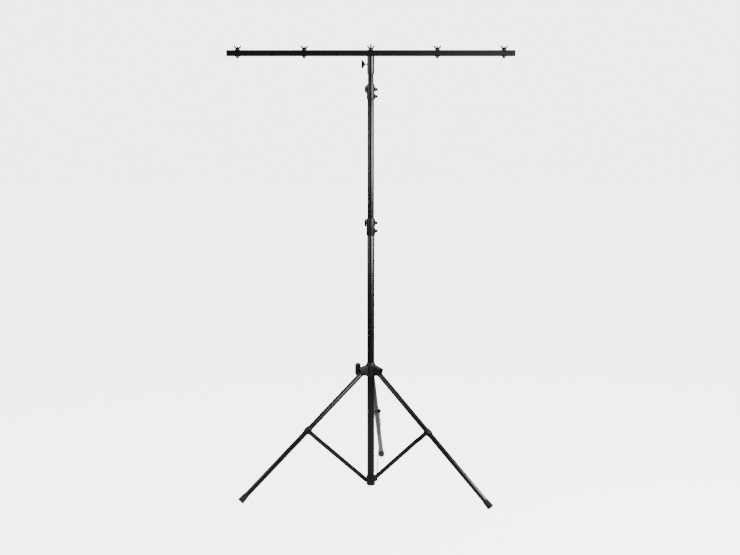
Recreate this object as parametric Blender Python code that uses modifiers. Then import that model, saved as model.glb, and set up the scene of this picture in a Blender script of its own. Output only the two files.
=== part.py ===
"""A telescopic lighting stand: a folding tripod, a mast of three tubes and a T-bar.

Metres, +Z up. The mast stands on the Z axis with its foot at the origin, and the T-bar lies along X.
Each leg is modelled in a plane of its own, in which x runs outwards from the mast, y lies across the leg,
counter-clockwise seen from above, and z is up. The tripod folds as a slider-crank: the legs hang from a hub
that slides up the mast, and a brace holds each one to a collar at the mast's foot.
"""

from math import asin, cos, pi, radians, sin, sqrt

import bmesh
import bpy
from mathutils import Matrix, Vector

# Clearances
SEAT = 0.0003  # gap between pieces that touch
SLIDE = 0.0004  # radial play of one mast tube in the next
HUB_PLAY = 0.0005  # radial play of the hub on the mast
PIVOT_PLAY = 0.0008  # radial play of a bolt in a brace's hole
BOLT_PLAY = 0.0003  # radial play of a bolt in its other holes

# Facets round a turned piece
MAST_FACETS = 24
LEG_FACETS = 16
SMALL_FACETS = 16
THIN_FACETS = 8

# Mast
TUBE_WALL = 0.0012
LOWER_TUBE_RADIUS = 0.0159
LOWER_TUBE_TOP = 1.140
MIDDLE_TUBE_LENGTH = 1.080
MIDDLE_TUBE_REACH = 0.582  # top of the middle tube above the top of the lower one
TOP_TUBE_LENGTH = 1.036
TOP_TUBE_REACH = 0.1453  # top of the top tube above the top of the middle one
PLUG_FLANGE = 0.003
PLUG_DEPTH = 0.022
PLUG_WALL = 0.002
PLUG_CHAMFER = 0.0008

# Clamps at the tops of the lower and the middle tube, measured from the tube's end
COLLAR_WALL = 0.0028
LOWER_COLLAR_ABOVE = 0.0405
LOWER_COLLAR_BELOW = 0.0340
LOWER_KNOB_RISE = 0.0200
LOWER_FIXING_DROP = 0.0150
UPPER_COLLAR_ABOVE = 0.0350
UPPER_COLLAR_BELOW = 0.0295
UPPER_KNOB_RISE = 0.0150
UPPER_FIXING_DROP = 0.0150
COLLAR_CHAMFER = 0.0025
EAR_RADIUS = 0.0095
FIXING_EAR_LEFT = 0.0125
EAR_RIGHT = 0.0215
EAR_SPLIT = 0.0020
BAND_SLIT = 0.0040
INSERT_LIP = 0.0020
CLAMP_BOLT_RADIUS = 0.0040
CLAMP_BOLT_REACH = 0.0050  # wall between the collar's outside and the bolt's axis
KNOB_RADIUS = 0.0185
KNOB_LOBE = 0.0018
KNOB_LOBES = 5
KNOB_THICKNESS = 0.0090
KNOB_FLANGE = 0.0045
KNOB_EDGE = 0.0012
KNOB_DOME_RADIUS = 0.0140
KNOB_TIP_RADIUS = 0.0055
CAP_NUT_HEX = 0.0075
CAP_NUT_HEX_LENGTH = 0.0055
CAP_NUT_DOME = 0.0040
FIXING_HEAD_RADIUS = 0.0065
FIXING_HEAD_LENGTH = 0.0050

# Tripod
LEG_COUNT = 3
TRIPOD_TURN = radians(-5.0)  # the tripod stands turned a little against the T-bar
BASE_PIVOT_RADIUS = 0.0160
BASE_PIVOT_HEIGHT = 0.0229
HUB_PIVOT_RADIUS = 0.0400
LEG_SPREAD = radians(48.1)
LEG_TOP_LENGTH = 0.3480  # hub pivot to brace pivot
LEG_LENGTH = 0.7640  # hub pivot to the foot's sole
LEG_HEAD = 0.0065  # leg tube above the hub pivot
LEG_TUBE_RADIUS = 0.0111
LEG_TUBE_WALL = 0.0012
PIVOT_BOLT_RADIUS = 0.0030
PIVOT_HEAD_RADIUS = 0.0055
PIVOT_HEAD_LENGTH = 0.0040
FOOT_LENGTH = 0.0360
FOOT_SOLE = 0.0060
FOOT_TOP_RADIUS = 0.0128
FOOT_SOLE_RADIUS = 0.0148
FOOT_RIB = 0.0006
CLIP_LENGTH = 0.0280
CLIP_WALL = 0.0025
CLIP_PAD_RADIUS = 0.0085
CLIP_PAD_HEIGHT = 0.0009
BRACE_LENGTH = 0.3780
BRACE_WIDTH = 0.0190
BRACE_THICKNESS = 0.0025
JOGGLE_START = 0.0300  # from the brace's outer pivot
JOGGLE_LENGTH = 0.0400
JOGGLE_STEPS = 6

# Collar at the mast's foot
BASE_COLLAR_RADIUS = 0.0195
BASE_COLLAR_BOTTOM = 0.0040
BASE_COLLAR_TOP = 0.0440
LUG_RADIUS = 0.0095
LUG_FACE = 0.0224  # from the leg's plane to the lug's outer face
LUG_HOLE_DEPTH = 0.0060

# Hub
HUB_SLEEVE_WALL = 0.0064
HUB_BUSH_WALL = 0.0019
HUB_RISE = 0.0370  # sleeve above the leg pivots
HUB_DROP = 0.0155  # sleeve below the leg pivots
HUB_NECK_RADIUS = 0.0199
HUB_NECK_FALL = 0.0080  # the neck's cone below the sleeve's top
HUB_BUSH_LIP = 0.0057
HUB_LIP_WALL = 0.0010
BRACKET_WALL = 0.0020
BRACKET_PLAY = 0.0006
BRACKET_REACH = 0.0570
BRACKET_SHOULDER = 0.0240
BRACKET_RISE = 0.0310
BRACKET_DROP = 0.0116
BRACKET_FALL = 0.0120
BRACKET_NOSE = 0.0080
BRACKET_HEEL = 0.0490
HUB_BOSS_RADIUS = 0.0080
HUB_BOSS_REACH = 0.0330
HUB_BOSS_RISE = 0.0065
HUB_KNOB_REACH = 0.0790
HUB_KNOB_HEIGHT = 0.0570
HUB_KNOB_WIDTH = 0.0240
HUB_KNOB_THICKNESS = 0.0190
HUB_KNOB_STEM_RADIUS = 0.0075
HUB_KNOB_EDGE = 0.0055
HUB_BOLT_GRIP = 0.0220  # stud held in the knob

# T-bar
T_BAR_LENGTH = 1.2400
T_BAR_SIZE = 0.0254
T_BAR_WALL = 0.0015
T_BAR_CORNER = 0.0030
T_BAR_BOLT_COUNT = 5
T_BAR_BOLT_INSET = 0.0480  # the outer bolts' axes from the bar's ends
T_BAR_BOLT_RADIUS = 0.0040
T_BAR_BOLT_RISE = 0.0130  # thread above the bar
CENTRE_BOLT_EXTRA = 0.0105
BOLT_HEAD_RADIUS = 0.0075
BOLT_HEAD_LENGTH = 0.0075
END_CAP_THICKNESS = 0.0030
END_CAP_SPIGOT = 0.0120
WASHER_RADIUS = 0.0105
WASHER_THICKNESS = 0.0020
SOCKET_LENGTH = 0.0750
SOCKET_RADIUS = 0.0159
SOCKET_CHAMFER = 0.0015
THUMB_SCREW_DROP = 0.0342  # below the bar's underside
THUMB_SCREW_RADIUS = 0.0030
THUMB_HEAD_REACH = 0.0405
THUMB_HEAD_DEPTH = 0.0150
THUMB_HEAD_HEIGHT = 0.0380
THUMB_HEAD_THICKNESS = 0.0070
THUMB_HUB_RADIUS = 0.0055
NUT_RADIUS = 0.0085
NUT_HEIGHT = 0.0090
NUT_TOP_RADIUS = 0.0060
WING_SPAN = 0.0170
WING_HEIGHT = 0.0205
WING_WIDTH = 0.0065
WING_THICKNESS = 0.0026

# Sizes that follow from those above
MIDDLE_TUBE_RADIUS = LOWER_TUBE_RADIUS - TUBE_WALL - SLIDE
TOP_TUBE_RADIUS = MIDDLE_TUBE_RADIUS - TUBE_WALL - SLIDE
MIDDLE_TUBE_TOP = LOWER_TUBE_TOP + MIDDLE_TUBE_REACH
TOP_TUBE_TOP = MIDDLE_TUBE_TOP + TOP_TUBE_REACH
CENTRE_HEAD_SPACE = BOLT_HEAD_LENGTH + WASHER_THICKNESS + 2 * SEAT
T_BAR_BOTTOM = TOP_TUBE_TOP + CENTRE_HEAD_SPACE + SEAT
T_BAR_HEIGHT = T_BAR_BOTTOM + T_BAR_SIZE / 2
T_BAR_TOP = T_BAR_BOTTOM + T_BAR_SIZE
T_BAR_BOLT_PITCH = (T_BAR_LENGTH - 2 * T_BAR_BOLT_INSET) / (T_BAR_BOLT_COUNT - 1)
CLIP_PIVOT_RADIUS = HUB_PIVOT_RADIUS + LEG_TOP_LENGTH * sin(LEG_SPREAD)
BRACE_ANGLE = asin((CLIP_PIVOT_RADIUS - BASE_PIVOT_RADIUS) / BRACE_LENGTH)
CLIP_PIVOT_HEIGHT = BASE_PIVOT_HEIGHT + BRACE_LENGTH * cos(BRACE_ANGLE)
HUB_PIVOT_HEIGHT = CLIP_PIVOT_HEIGHT + LEG_TOP_LENGTH * cos(LEG_SPREAD)
CLIP_RADIUS = LEG_TUBE_RADIUS + SEAT + CLIP_WALL
CLIP_FACE = CLIP_RADIUS + CLIP_PAD_HEIGHT
BRACE_BASE_OFFSET = LUG_FACE + SEAT + BRACE_THICKNESS / 2
BRACE_CLIP_OFFSET = CLIP_FACE + SEAT + BRACE_THICKNESS / 2
HUB_BUSH_BORE = LOWER_TUBE_RADIUS + HUB_PLAY
HUB_BORE = HUB_BUSH_BORE + HUB_BUSH_WALL + SEAT
HUB_RADIUS = HUB_BORE + HUB_SLEEVE_WALL
BRACKET_INSIDE = LEG_TUBE_RADIUS + BRACKET_PLAY
BRACKET_OUTSIDE = BRACKET_INSIDE + BRACKET_WALL
HUB_KNOB_HEIGHT_ON_HUB = HUB_PIVOT_HEIGHT + HUB_BOSS_RISE

# Turns that lay a piece, modelled along z, across or along a leg's plane
ACROSS = Matrix.Rotation(pi / 2, 4, "X")  # z to -y, y to z
OUTWARDS = Matrix.Rotation(pi / 2, 4, "Y")  # z to x, x to -z
LEFTWARDS = Matrix.Rotation(-pi / 2, 4, "Y")  # z to -x, x to z

# Colour, roughness and metallic value of each finish
FINISHES = {
    "powder_coat": ((0.014, 0.014, 0.015), 0.38, 0.0),
    "black_zinc": ((0.030, 0.030, 0.032), 0.32, 0.7),
    "plastic": ((0.010, 0.010, 0.011), 0.50, 0.0),
    "rubber": ((0.012, 0.012, 0.012), 0.80, 0.0),
}

parts = None
cutters = None


def clear_scene():
    """Removes what the scene holds and makes the two collections."""
    global parts, cutters
    for obj in list(bpy.context.scene.objects):
        bpy.data.objects.remove(obj, do_unlink=True)
    parts = bpy.data.collections.new("light_stand")
    cutters = bpy.data.collections.new("cutters")
    bpy.context.scene.collection.children.link(parts)
    bpy.context.scene.collection.children.link(cutters)


def shift(x=0.0, y=0.0, z=0.0):
    return Matrix.Translation((x, y, z))


def pivot(name, frame, parent=None):
    """An empty on a joint's axis, which carries the pieces that turn or slide there."""
    empty = bpy.data.objects.new(name, None)
    empty.empty_display_size = 0.02
    parts.objects.link(empty)
    empty.parent = parent
    empty.matrix_local = frame
    return empty


def finish(obj, kind):
    """Gives a piece a material of its own."""
    colour, roughness, metallic = FINISHES[kind]
    material = bpy.data.materials.new(obj.name)
    material.use_nodes = True
    shader = material.node_tree.nodes["Principled BSDF"]
    shader.inputs["Base Color"].default_value = (*colour, 1.0)
    shader.inputs["Roughness"].default_value = roughness
    shader.inputs["Metallic"].default_value = metallic
    material.diffuse_color = (*colour, 1.0)
    obj.data.materials.clear()
    obj.data.materials.append(material)


def part(obj, kind, carrier=None, frame=None):
    """Puts a piece in the stand's collection, on its carrier."""
    parts.objects.link(obj)
    obj.parent = carrier
    obj.matrix_local = frame or Matrix()
    finish(obj, kind)
    obj.data.shade_smooth()
    return obj


def tool(obj, carrier=None, frame=None):
    """Puts a shape that cuts or joins others in the cutters' collection."""
    cutters.objects.link(obj)
    obj.parent = carrier
    obj.matrix_local = frame or Matrix()
    obj.hide_render = True
    obj.display_type = "WIRE"
    return obj


def combine(obj, other, operation):
    step = obj.modifiers.new(operation.lower(), "BOOLEAN")
    step.operation = operation
    step.solver = "EXACT"
    step.object = other


def cut(obj, *others):
    for other in others:
        combine(obj, other, "DIFFERENCE")


def join(obj, *others):
    for other in others:
        combine(obj, other, "UNION")


def object_of(name, bm):
    mesh = bpy.data.meshes.new(name)
    bm.to_mesh(mesh)
    bm.free()
    return bpy.data.objects.new(name, mesh)


def turned(name, profile, facets, hollow=False):
    """A profile of (radius, height) points turned about z. It runs down the outer side, top to bottom."""
    mesh = bpy.data.meshes.new(name)
    last = len(profile) - 1
    edges = [(n, n + 1) for n in range(last)] + ([(last, 0)] if hollow else [])
    mesh.from_pydata([(r, 0.0, z) for r, z in profile], edges, [])
    obj = bpy.data.objects.new(name, mesh)
    spin = obj.modifiers.new("turn", "SCREW")
    spin.steps = facets
    spin.render_steps = facets
    spin.use_merge_vertices = True
    spin.merge_threshold = 1e-5
    return obj


def ring(name, outer, inner, bottom, top, facets):
    profile = [(outer, top), (outer, bottom), (inner, bottom), (inner, top)]
    return turned(name, profile, facets, hollow=True)


def rod(name, radius, bottom, top, facets=SMALL_FACETS):
    """A round bar along z."""
    bm = bmesh.new()
    bmesh.ops.create_cone(bm, cap_ends=True, segments=facets, radius1=radius, radius2=radius, depth=top - bottom)
    bmesh.ops.translate(bm, verts=bm.verts, vec=(0.0, 0.0, (top + bottom) / 2))
    return object_of(name, bm)


def box(name, low, high):
    bm = bmesh.new()
    bmesh.ops.create_cube(bm, size=1.0)
    low, high = Vector(low), Vector(high)
    bmesh.ops.scale(bm, verts=bm.verts, vec=high - low)
    bmesh.ops.translate(bm, verts=bm.verts, vec=(high + low) / 2)
    return object_of(name, bm)


def plate(name, outline, thickness):
    """A flat outline in the xy plane, filled and given a thickness along z."""
    curve = bpy.data.curves.new(name, "CURVE")
    curve.dimensions = "2D"
    curve.fill_mode = "BOTH"
    curve.extrude = thickness / 2
    spline = curve.splines.new("POLY")
    spline.points.add(len(outline) - 1)
    for point, (x, y) in zip(spline.points, outline):
        point.co = (x, y, 0.0, 1.0)
    spline.use_cyclic_u = True
    flat = bpy.data.objects.new(name, curve)
    bpy.context.scene.collection.objects.link(flat)
    mesh = solid_of(flat)
    bpy.data.objects.remove(flat)
    return bpy.data.objects.new(name, mesh)


def solid_of(obj):
    """The mesh of an object after its modifiers, with its doubles merged."""
    bpy.context.view_layer.update()
    graph = bpy.context.evaluated_depsgraph_get()
    mesh = bpy.data.meshes.new_from_object(obj.evaluated_get(graph))
    bm = bmesh.new()
    bm.from_mesh(mesh)
    bmesh.ops.remove_doubles(bm, verts=bm.verts, dist=1e-6)
    bmesh.ops.recalc_face_normals(bm, faces=bm.faces)
    bm.to_mesh(mesh)
    bm.free()
    return mesh


def baked(pattern):
    """The finished mesh of a repeated piece, for its copies to use. The pattern is used up."""
    mesh = solid_of(pattern)
    for step in pattern.modifiers:
        if step.type == "BOOLEAN":
            bpy.data.objects.remove(step.object)
    bpy.data.objects.remove(pattern)
    return mesh


def placed(name, mesh, kind, carrier, frame):
    """A copy of a repeated piece."""
    return part(bpy.data.objects.new(name, mesh.copy()), kind, carrier, frame)


def rounded(obj, width, angle=radians(40)):
    """Rounds a piece's sharp edges."""
    soften = obj.modifiers.new("edges", "BEVEL")
    soften.width = width
    soften.segments = 2
    soften.limit_method = "ANGLE"
    soften.angle_limit = angle


def arc(centre, radius, start, end, steps):
    """Points of an arc, both ends included."""
    turns = [start + (end - start) * n / steps for n in range(steps + 1)]
    return [(centre[0] + radius * cos(a), centre[1] + radius * sin(a)) for a in turns]


def stadium(length, width, steps=8):
    """A strip round both ends, whose end centres lie at the origin and at (length, 0)."""
    half = width / 2
    return arc((length, 0.0), half, -pi / 2, pi / 2, steps) + arc((0.0, 0.0), half, pi / 2, 3 * pi / 2, steps)


def rounded_square(side, corner, steps=3):
    inset = side / 2 - corner
    points = []
    for n, (x, y) in enumerate(((1, 1), (-1, 1), (-1, -1), (1, -1))):
        points += arc((x * inset, y * inset), corner, n * pi / 2, (n + 1) * pi / 2, steps)
    return points


def hex_bolt(name, head_radius, head_length, shank_radius, shank_length):
    """A bolt along z: the head's seat lies at z = 0 and the shank runs up from it."""
    bolt = tool(rod(name, head_radius, -head_length, 0.0, 6))
    join(bolt, tool(rod(name + "_shank", shank_radius, -head_length / 2, shank_length, THIN_FACETS)))
    return bolt


def tube_plug(name, tube_radius, tube_wall, end):
    """A plug pressed into the lower end of a tube, with its flange's lower face at the height end."""
    spigot = tube_radius - tube_wall - SEAT
    bore = spigot - PLUG_WALL
    seat = end + PLUG_FLANGE
    profile = [
        (0.0, seat),
        (bore, seat),
        (bore, seat + PLUG_DEPTH),
        (spigot, seat + PLUG_DEPTH),
        (spigot, seat),
        (tube_radius, seat),
        (tube_radius, end + PLUG_CHAMFER),
        (tube_radius - PLUG_CHAMFER, end),
        (0.0, end),
    ]
    return turned(name, profile, MAST_FACETS)


def mast_tube(name, radius, bottom, top, carrier):
    """A mast tube on a bottom plug, whose flange takes the first millimetres of its length."""
    tube = ring(name, radius, radius - TUBE_WALL, bottom + PLUG_FLANGE + SEAT, top, MAST_FACETS)
    return part(tube, "powder_coat", carrier)


def clamp(name, tube_radius, inner_radius, end, above, below, knob_rise, fixing_drop, carrier):
    """The split collar on a tube's top end, with its insert, fixing bolt, cap nuts and locking knob."""
    outside = tube_radius + SEAT + COLLAR_WALL
    bore = tube_radius + SEAT
    bottom = end - below
    top = end + above
    knob_height = end + knob_rise
    fixing_height = end - fixing_drop
    back = outside + CLAMP_BOLT_REACH

    collar = turned(
        name + "_collar",
        [
            (0.0, top),
            (outside - COLLAR_CHAMFER, top),
            (outside, top - 2 * COLLAR_CHAMFER),
            (outside, bottom + COLLAR_CHAMFER),
            (outside - COLLAR_CHAMFER / 2, bottom),
            (0.0, bottom),
        ],
        MAST_FACETS,
    )
    part(collar, "powder_coat", carrier)
    reach = back - tube_radius
    knob_ear_left = outside
    for height, ear_left in ((knob_height, knob_ear_left), (fixing_height, FIXING_EAR_LEFT)):
        middle = (EAR_RIGHT - ear_left) / 2
        outline = [(-reach, EAR_RADIUS)] + [(-reach, -EAR_RADIUS)]
        outline += arc((0.0, 0.0), EAR_RADIUS, -pi / 2, pi / 2, 8)
        ear = plate("ear", outline, ear_left + EAR_RIGHT)
        upright = shift(middle, back, height) @ Matrix.Rotation(pi / 2, 4, "Z") @ ACROSS
        join(collar, tool(ear, carrier, upright))
    cut(collar, tool(rod("bore", bore, bottom - 0.01, top + 0.01, MAST_FACETS), carrier))
    half = EAR_SPLIT / 2
    split = box("split", (-half, tube_radius / 2, bottom - 0.01), (half, back + 0.03, top + 0.01))
    cut(collar, tool(split, carrier))
    slit_low = end + SEAT
    slit = box("slit", (0.0, -tube_radius / 2, slit_low), (0.05, back + 0.03, slit_low + BAND_SLIT))
    cut(collar, tool(slit, carrier))
    for height in (knob_height, fixing_height):
        hole = rod("bolt_hole", CLAMP_BOLT_RADIUS + BOLT_PLAY, -0.05, 0.05)
        cut(collar, tool(hole, carrier, shift(0.0, back, height) @ OUTWARDS))

    lip = top + SEAT
    insert = turned(
        name + "_insert",
        [
            (tube_radius, lip + INSERT_LIP),
            (outside - COLLAR_CHAMFER, lip),
            (tube_radius, lip),
            (tube_radius, end + SEAT),
            (inner_radius + SEAT, end + SEAT),
            (inner_radius + SEAT, lip + INSERT_LIP),
        ],
        MAST_FACETS,
        hollow=True,
    )
    part(insert, "plastic", carrier)

    nut_seat = EAR_RIGHT + SEAT
    head_seat = -FIXING_EAR_LEFT - SEAT
    knob_seat = -knob_ear_left - SEAT
    knob_grip = KNOB_THICKNESS * 0.7
    dome_radius = CAP_NUT_HEX * 0.8
    dome = [
        (dome_radius * sin(a), CAP_NUT_HEX_LENGTH + CAP_NUT_DOME * cos(a)) for a in (0, pi / 6, pi / 3, pi / 2)
    ]
    dome += [(dome_radius, CAP_NUT_HEX_LENGTH / 2), (0.0, CAP_NUT_HEX_LENGTH / 2)]
    for use, height, start in (("knob", knob_height, knob_seat - knob_grip), ("fixing", fixing_height, head_seat)):
        place = shift(0.0, back, height) @ OUTWARDS
        shank = rod(f"{name}_{use}_bolt", CLAMP_BOLT_RADIUS, start, nut_seat + CAP_NUT_HEX_LENGTH / 4)
        bolt = part(shank, "black_zinc", carrier, place)
        join(bolt, tool(rod("cap_nut", CAP_NUT_HEX, nut_seat, nut_seat + CAP_NUT_HEX_LENGTH, 6), carrier, place))
        join(bolt, tool(turned("dome", dome, THIN_FACETS), carrier, place @ shift(z=nut_seat)))
        if use == "fixing":
            head = rod("bolt_head", FIXING_HEAD_RADIUS, head_seat - FIXING_HEAD_LENGTH, head_seat)
            join(bolt, tool(head, carrier, place))

    axis = pivot(name + "_knob_axis", shift(0.0, back, knob_height), carrier)
    turns = [2 * pi * n / (6 * KNOB_LOBES) for n in range(6 * KNOB_LOBES)]
    lobes = [KNOB_RADIUS - KNOB_LOBE + KNOB_LOBE * cos(KNOB_LOBES * a) for a in turns]
    outline = [(r * cos(a), r * sin(a)) for r, a in zip(lobes, turns)]
    knob = plate(name + "_knob", outline, KNOB_FLANGE)
    rounded(knob, KNOB_EDGE)
    part(knob, "plastic", axis, shift(knob_seat - KNOB_FLANGE / 2) @ LEFTWARDS)
    bulge = KNOB_DOME_RADIUS - KNOB_TIP_RADIUS
    rise = KNOB_THICKNESS - KNOB_FLANGE
    face = [(KNOB_TIP_RADIUS + bulge * sin(a), KNOB_FLANGE + rise * cos(a)) for a in (0, pi / 6, pi / 3, pi / 2)]
    face = [(0.0, KNOB_THICKNESS)] + face + [(KNOB_DOME_RADIUS, KNOB_FLANGE / 2), (0.0, KNOB_FLANGE / 2)]
    join(knob, tool(turned("knob_face", face, SMALL_FACETS), axis, shift(knob_seat) @ LEFTWARDS))
    socket = rod("knob_hole", CLAMP_BOLT_RADIUS + BOLT_PLAY, -0.01, knob_grip + SEAT)
    cut(knob, tool(socket, axis, shift(knob_seat) @ LEFTWARDS))


def base_collar(carrier, frames):
    """The collar at the mast's foot, with a flat lug beside each leg's plane."""
    profile = [
        (0.0, BASE_COLLAR_TOP),
        (BASE_COLLAR_RADIUS - COLLAR_CHAMFER, BASE_COLLAR_TOP),
        (BASE_COLLAR_RADIUS, BASE_COLLAR_TOP - COLLAR_CHAMFER),
        (BASE_COLLAR_RADIUS, BASE_COLLAR_BOTTOM),
        (0.0, BASE_COLLAR_BOTTOM),
    ]
    collar = part(turned("mast_base_collar", profile, MAST_FACETS), "powder_coat", carrier)
    inner = LOWER_TUBE_RADIUS / 2
    hole_end = LUG_FACE - LUG_HOLE_DEPTH
    for frame in frames:
        seat = frame @ shift(BASE_PIVOT_RADIUS, 0.0, BASE_PIVOT_HEIGHT) @ ACROSS
        join(collar, tool(rod("lug", LUG_RADIUS, inner, LUG_FACE, LEG_FACETS), carrier, seat))
        hole = rod("lug_hole", PIVOT_BOLT_RADIUS + BOLT_PLAY, hole_end, LUG_FACE + 0.01)
        cut(collar, tool(hole, carrier, seat))
    bore = rod("mast_bore", LOWER_TUBE_RADIUS + SEAT, -0.01, BASE_COLLAR_TOP + 0.01, MAST_FACETS)
    cut(collar, tool(bore, carrier))

    head_seat = LUG_FACE + 2 * SEAT + BRACE_THICKNESS
    length = head_seat - hole_end - SEAT
    bolt = baked(hex_bolt("bolt", PIVOT_HEAD_RADIUS, PIVOT_HEAD_LENGTH, PIVOT_BOLT_RADIUS, length))
    inward = shift(BASE_PIVOT_RADIUS, -head_seat, BASE_PIVOT_HEIGHT) @ ACROSS.inverted()
    for number, frame in enumerate(frames, 1):
        placed(f"base_pivot_bolt_{number}", bolt, "black_zinc", carrier, frame @ inward)


def hub(carrier, frames):
    """The sliding hub: a sleeve with three open channels, its bush, the leg bolts and the locking knob."""
    low = -HUB_DROP
    high = HUB_RISE
    profile = [
        (0.0, high),
        (HUB_NECK_RADIUS, high),
        (HUB_NECK_RADIUS + 0.3 * (HUB_RADIUS - HUB_NECK_RADIUS), high - HUB_NECK_FALL / 2),
        (HUB_RADIUS, high - HUB_NECK_FALL),
        (HUB_RADIUS, low),
        (0.0, low),
    ]
    casting = part(turned("hub_casting", profile, MAST_FACETS), "powder_coat", carrier)
    roof = BRACKET_RISE
    heel = -BRACKET_DROP
    fall = roof - BRACKET_FALL
    start = LOWER_TUBE_RADIUS / 2
    side = [
        (start, heel),
        (BRACKET_HEEL, heel),
        (BRACKET_REACH, fall - BRACKET_NOSE),
        (BRACKET_REACH, fall),
        (BRACKET_SHOULDER, roof),
        (start, roof),
    ]
    slope = BRACKET_FALL / (BRACKET_REACH - BRACKET_SHOULDER)
    drop = BRACKET_WALL * sqrt(1.0 + slope * slope)
    wall = HUB_RADIUS + SEAT
    ceiling = roof + slope * (BRACKET_SHOULDER - wall) - drop
    beyond = BRACKET_REACH + 0.01
    channel = [
        (wall, heel - 0.01),
        (beyond, heel - 0.01),
        (beyond, fall - drop - 0.01 * slope),
        (wall, min(ceiling, roof - BRACKET_WALL)),
    ]
    for frame in frames:
        bracket = tool(plate("bracket", side, 2 * BRACKET_OUTSIDE), carrier, frame @ ACROSS)
        cut(bracket, tool(plate("channel", channel, 2 * BRACKET_INSIDE), carrier, frame @ ACROSS))
        hole = rod("leg_hole", PIVOT_BOLT_RADIUS + BOLT_PLAY, -0.03, 0.03)
        cut(bracket, tool(hole, carrier, frame @ shift(HUB_PIVOT_RADIUS) @ ACROSS))
        join(casting, bracket)
    between = frames[0] @ Matrix.Rotation(pi / LEG_COUNT, 4, "Z") @ shift(z=HUB_BOSS_RISE)
    boss = rod("boss", HUB_BOSS_RADIUS, start, HUB_BOSS_REACH)
    join(casting, tool(boss, carrier, between @ OUTWARDS))
    cut(casting, tool(rod("hub_bore", HUB_BORE, low - 0.01, high + 0.01, MAST_FACETS), carrier))
    screw_hole = tool(rod("screw_hole", CLAMP_BOLT_RADIUS + BOLT_PLAY, start, 0.05), carrier, between @ OUTWARDS)
    cut(casting, screw_hole)

    outer = HUB_BORE - SEAT
    lip = high + SEAT
    bush = turned(
        "hub_bush",
        [
            (HUB_BUSH_BORE + HUB_LIP_WALL, lip + HUB_BUSH_LIP),
            (HUB_NECK_RADIUS, lip),
            (outer, lip),
            (outer, low),
            (HUB_BUSH_BORE, low),
            (HUB_BUSH_BORE, lip + HUB_BUSH_LIP),
        ],
        MAST_FACETS,
        hollow=True,
    )
    part(bush, "plastic", carrier)
    cut(bush, screw_hole)

    head_seat = BRACKET_OUTSIDE + SEAT
    bolt = hex_bolt("bolt", PIVOT_HEAD_RADIUS, PIVOT_HEAD_LENGTH, PIVOT_BOLT_RADIUS, 2 * head_seat)
    join(bolt, tool(rod("lock_nut", PIVOT_HEAD_RADIUS, 2 * head_seat, 2 * head_seat + PIVOT_HEAD_LENGTH, 6)))
    inward = shift(HUB_PIVOT_RADIUS, -head_seat) @ ACROSS.inverted()
    bolt = baked(bolt)
    for number, frame in enumerate(frames, 1):
        placed(f"hub_pivot_bolt_{number}", bolt, "black_zinc", carrier, frame @ inward)

    axis = pivot("hub_knob_axis", between, carrier)
    head = HUB_KNOB_REACH - HUB_KNOB_THICKNESS
    foot = HUB_BOSS_REACH + SEAT
    run = HUB_KNOB_HEIGHT - HUB_KNOB_WIDTH
    centred = [(x - run / 2, y) for x, y in stadium(run, HUB_KNOB_WIDTH)]
    knob = plate("hub_knob", centred, HUB_KNOB_THICKNESS)
    rounded(knob, HUB_KNOB_EDGE)
    part(knob, "plastic", axis, shift(head + HUB_KNOB_THICKNESS / 2) @ OUTWARDS)
    stem = [
        (0.0, head + HUB_KNOB_EDGE),
        (HUB_KNOB_STEM_RADIUS * 1.3, head + HUB_KNOB_EDGE),
        (HUB_KNOB_STEM_RADIUS, (head + foot) / 2),
        (HUB_KNOB_STEM_RADIUS, foot),
        (0.0, foot),
    ]
    join(knob, tool(turned("stem", stem, SMALL_FACETS), axis, OUTWARDS))
    stud = rod("stud", CLAMP_BOLT_RADIUS, LOWER_TUBE_RADIUS + SEAT, foot + HUB_BOLT_GRIP)
    join(knob, tool(stud, axis, OUTWARDS))


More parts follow.
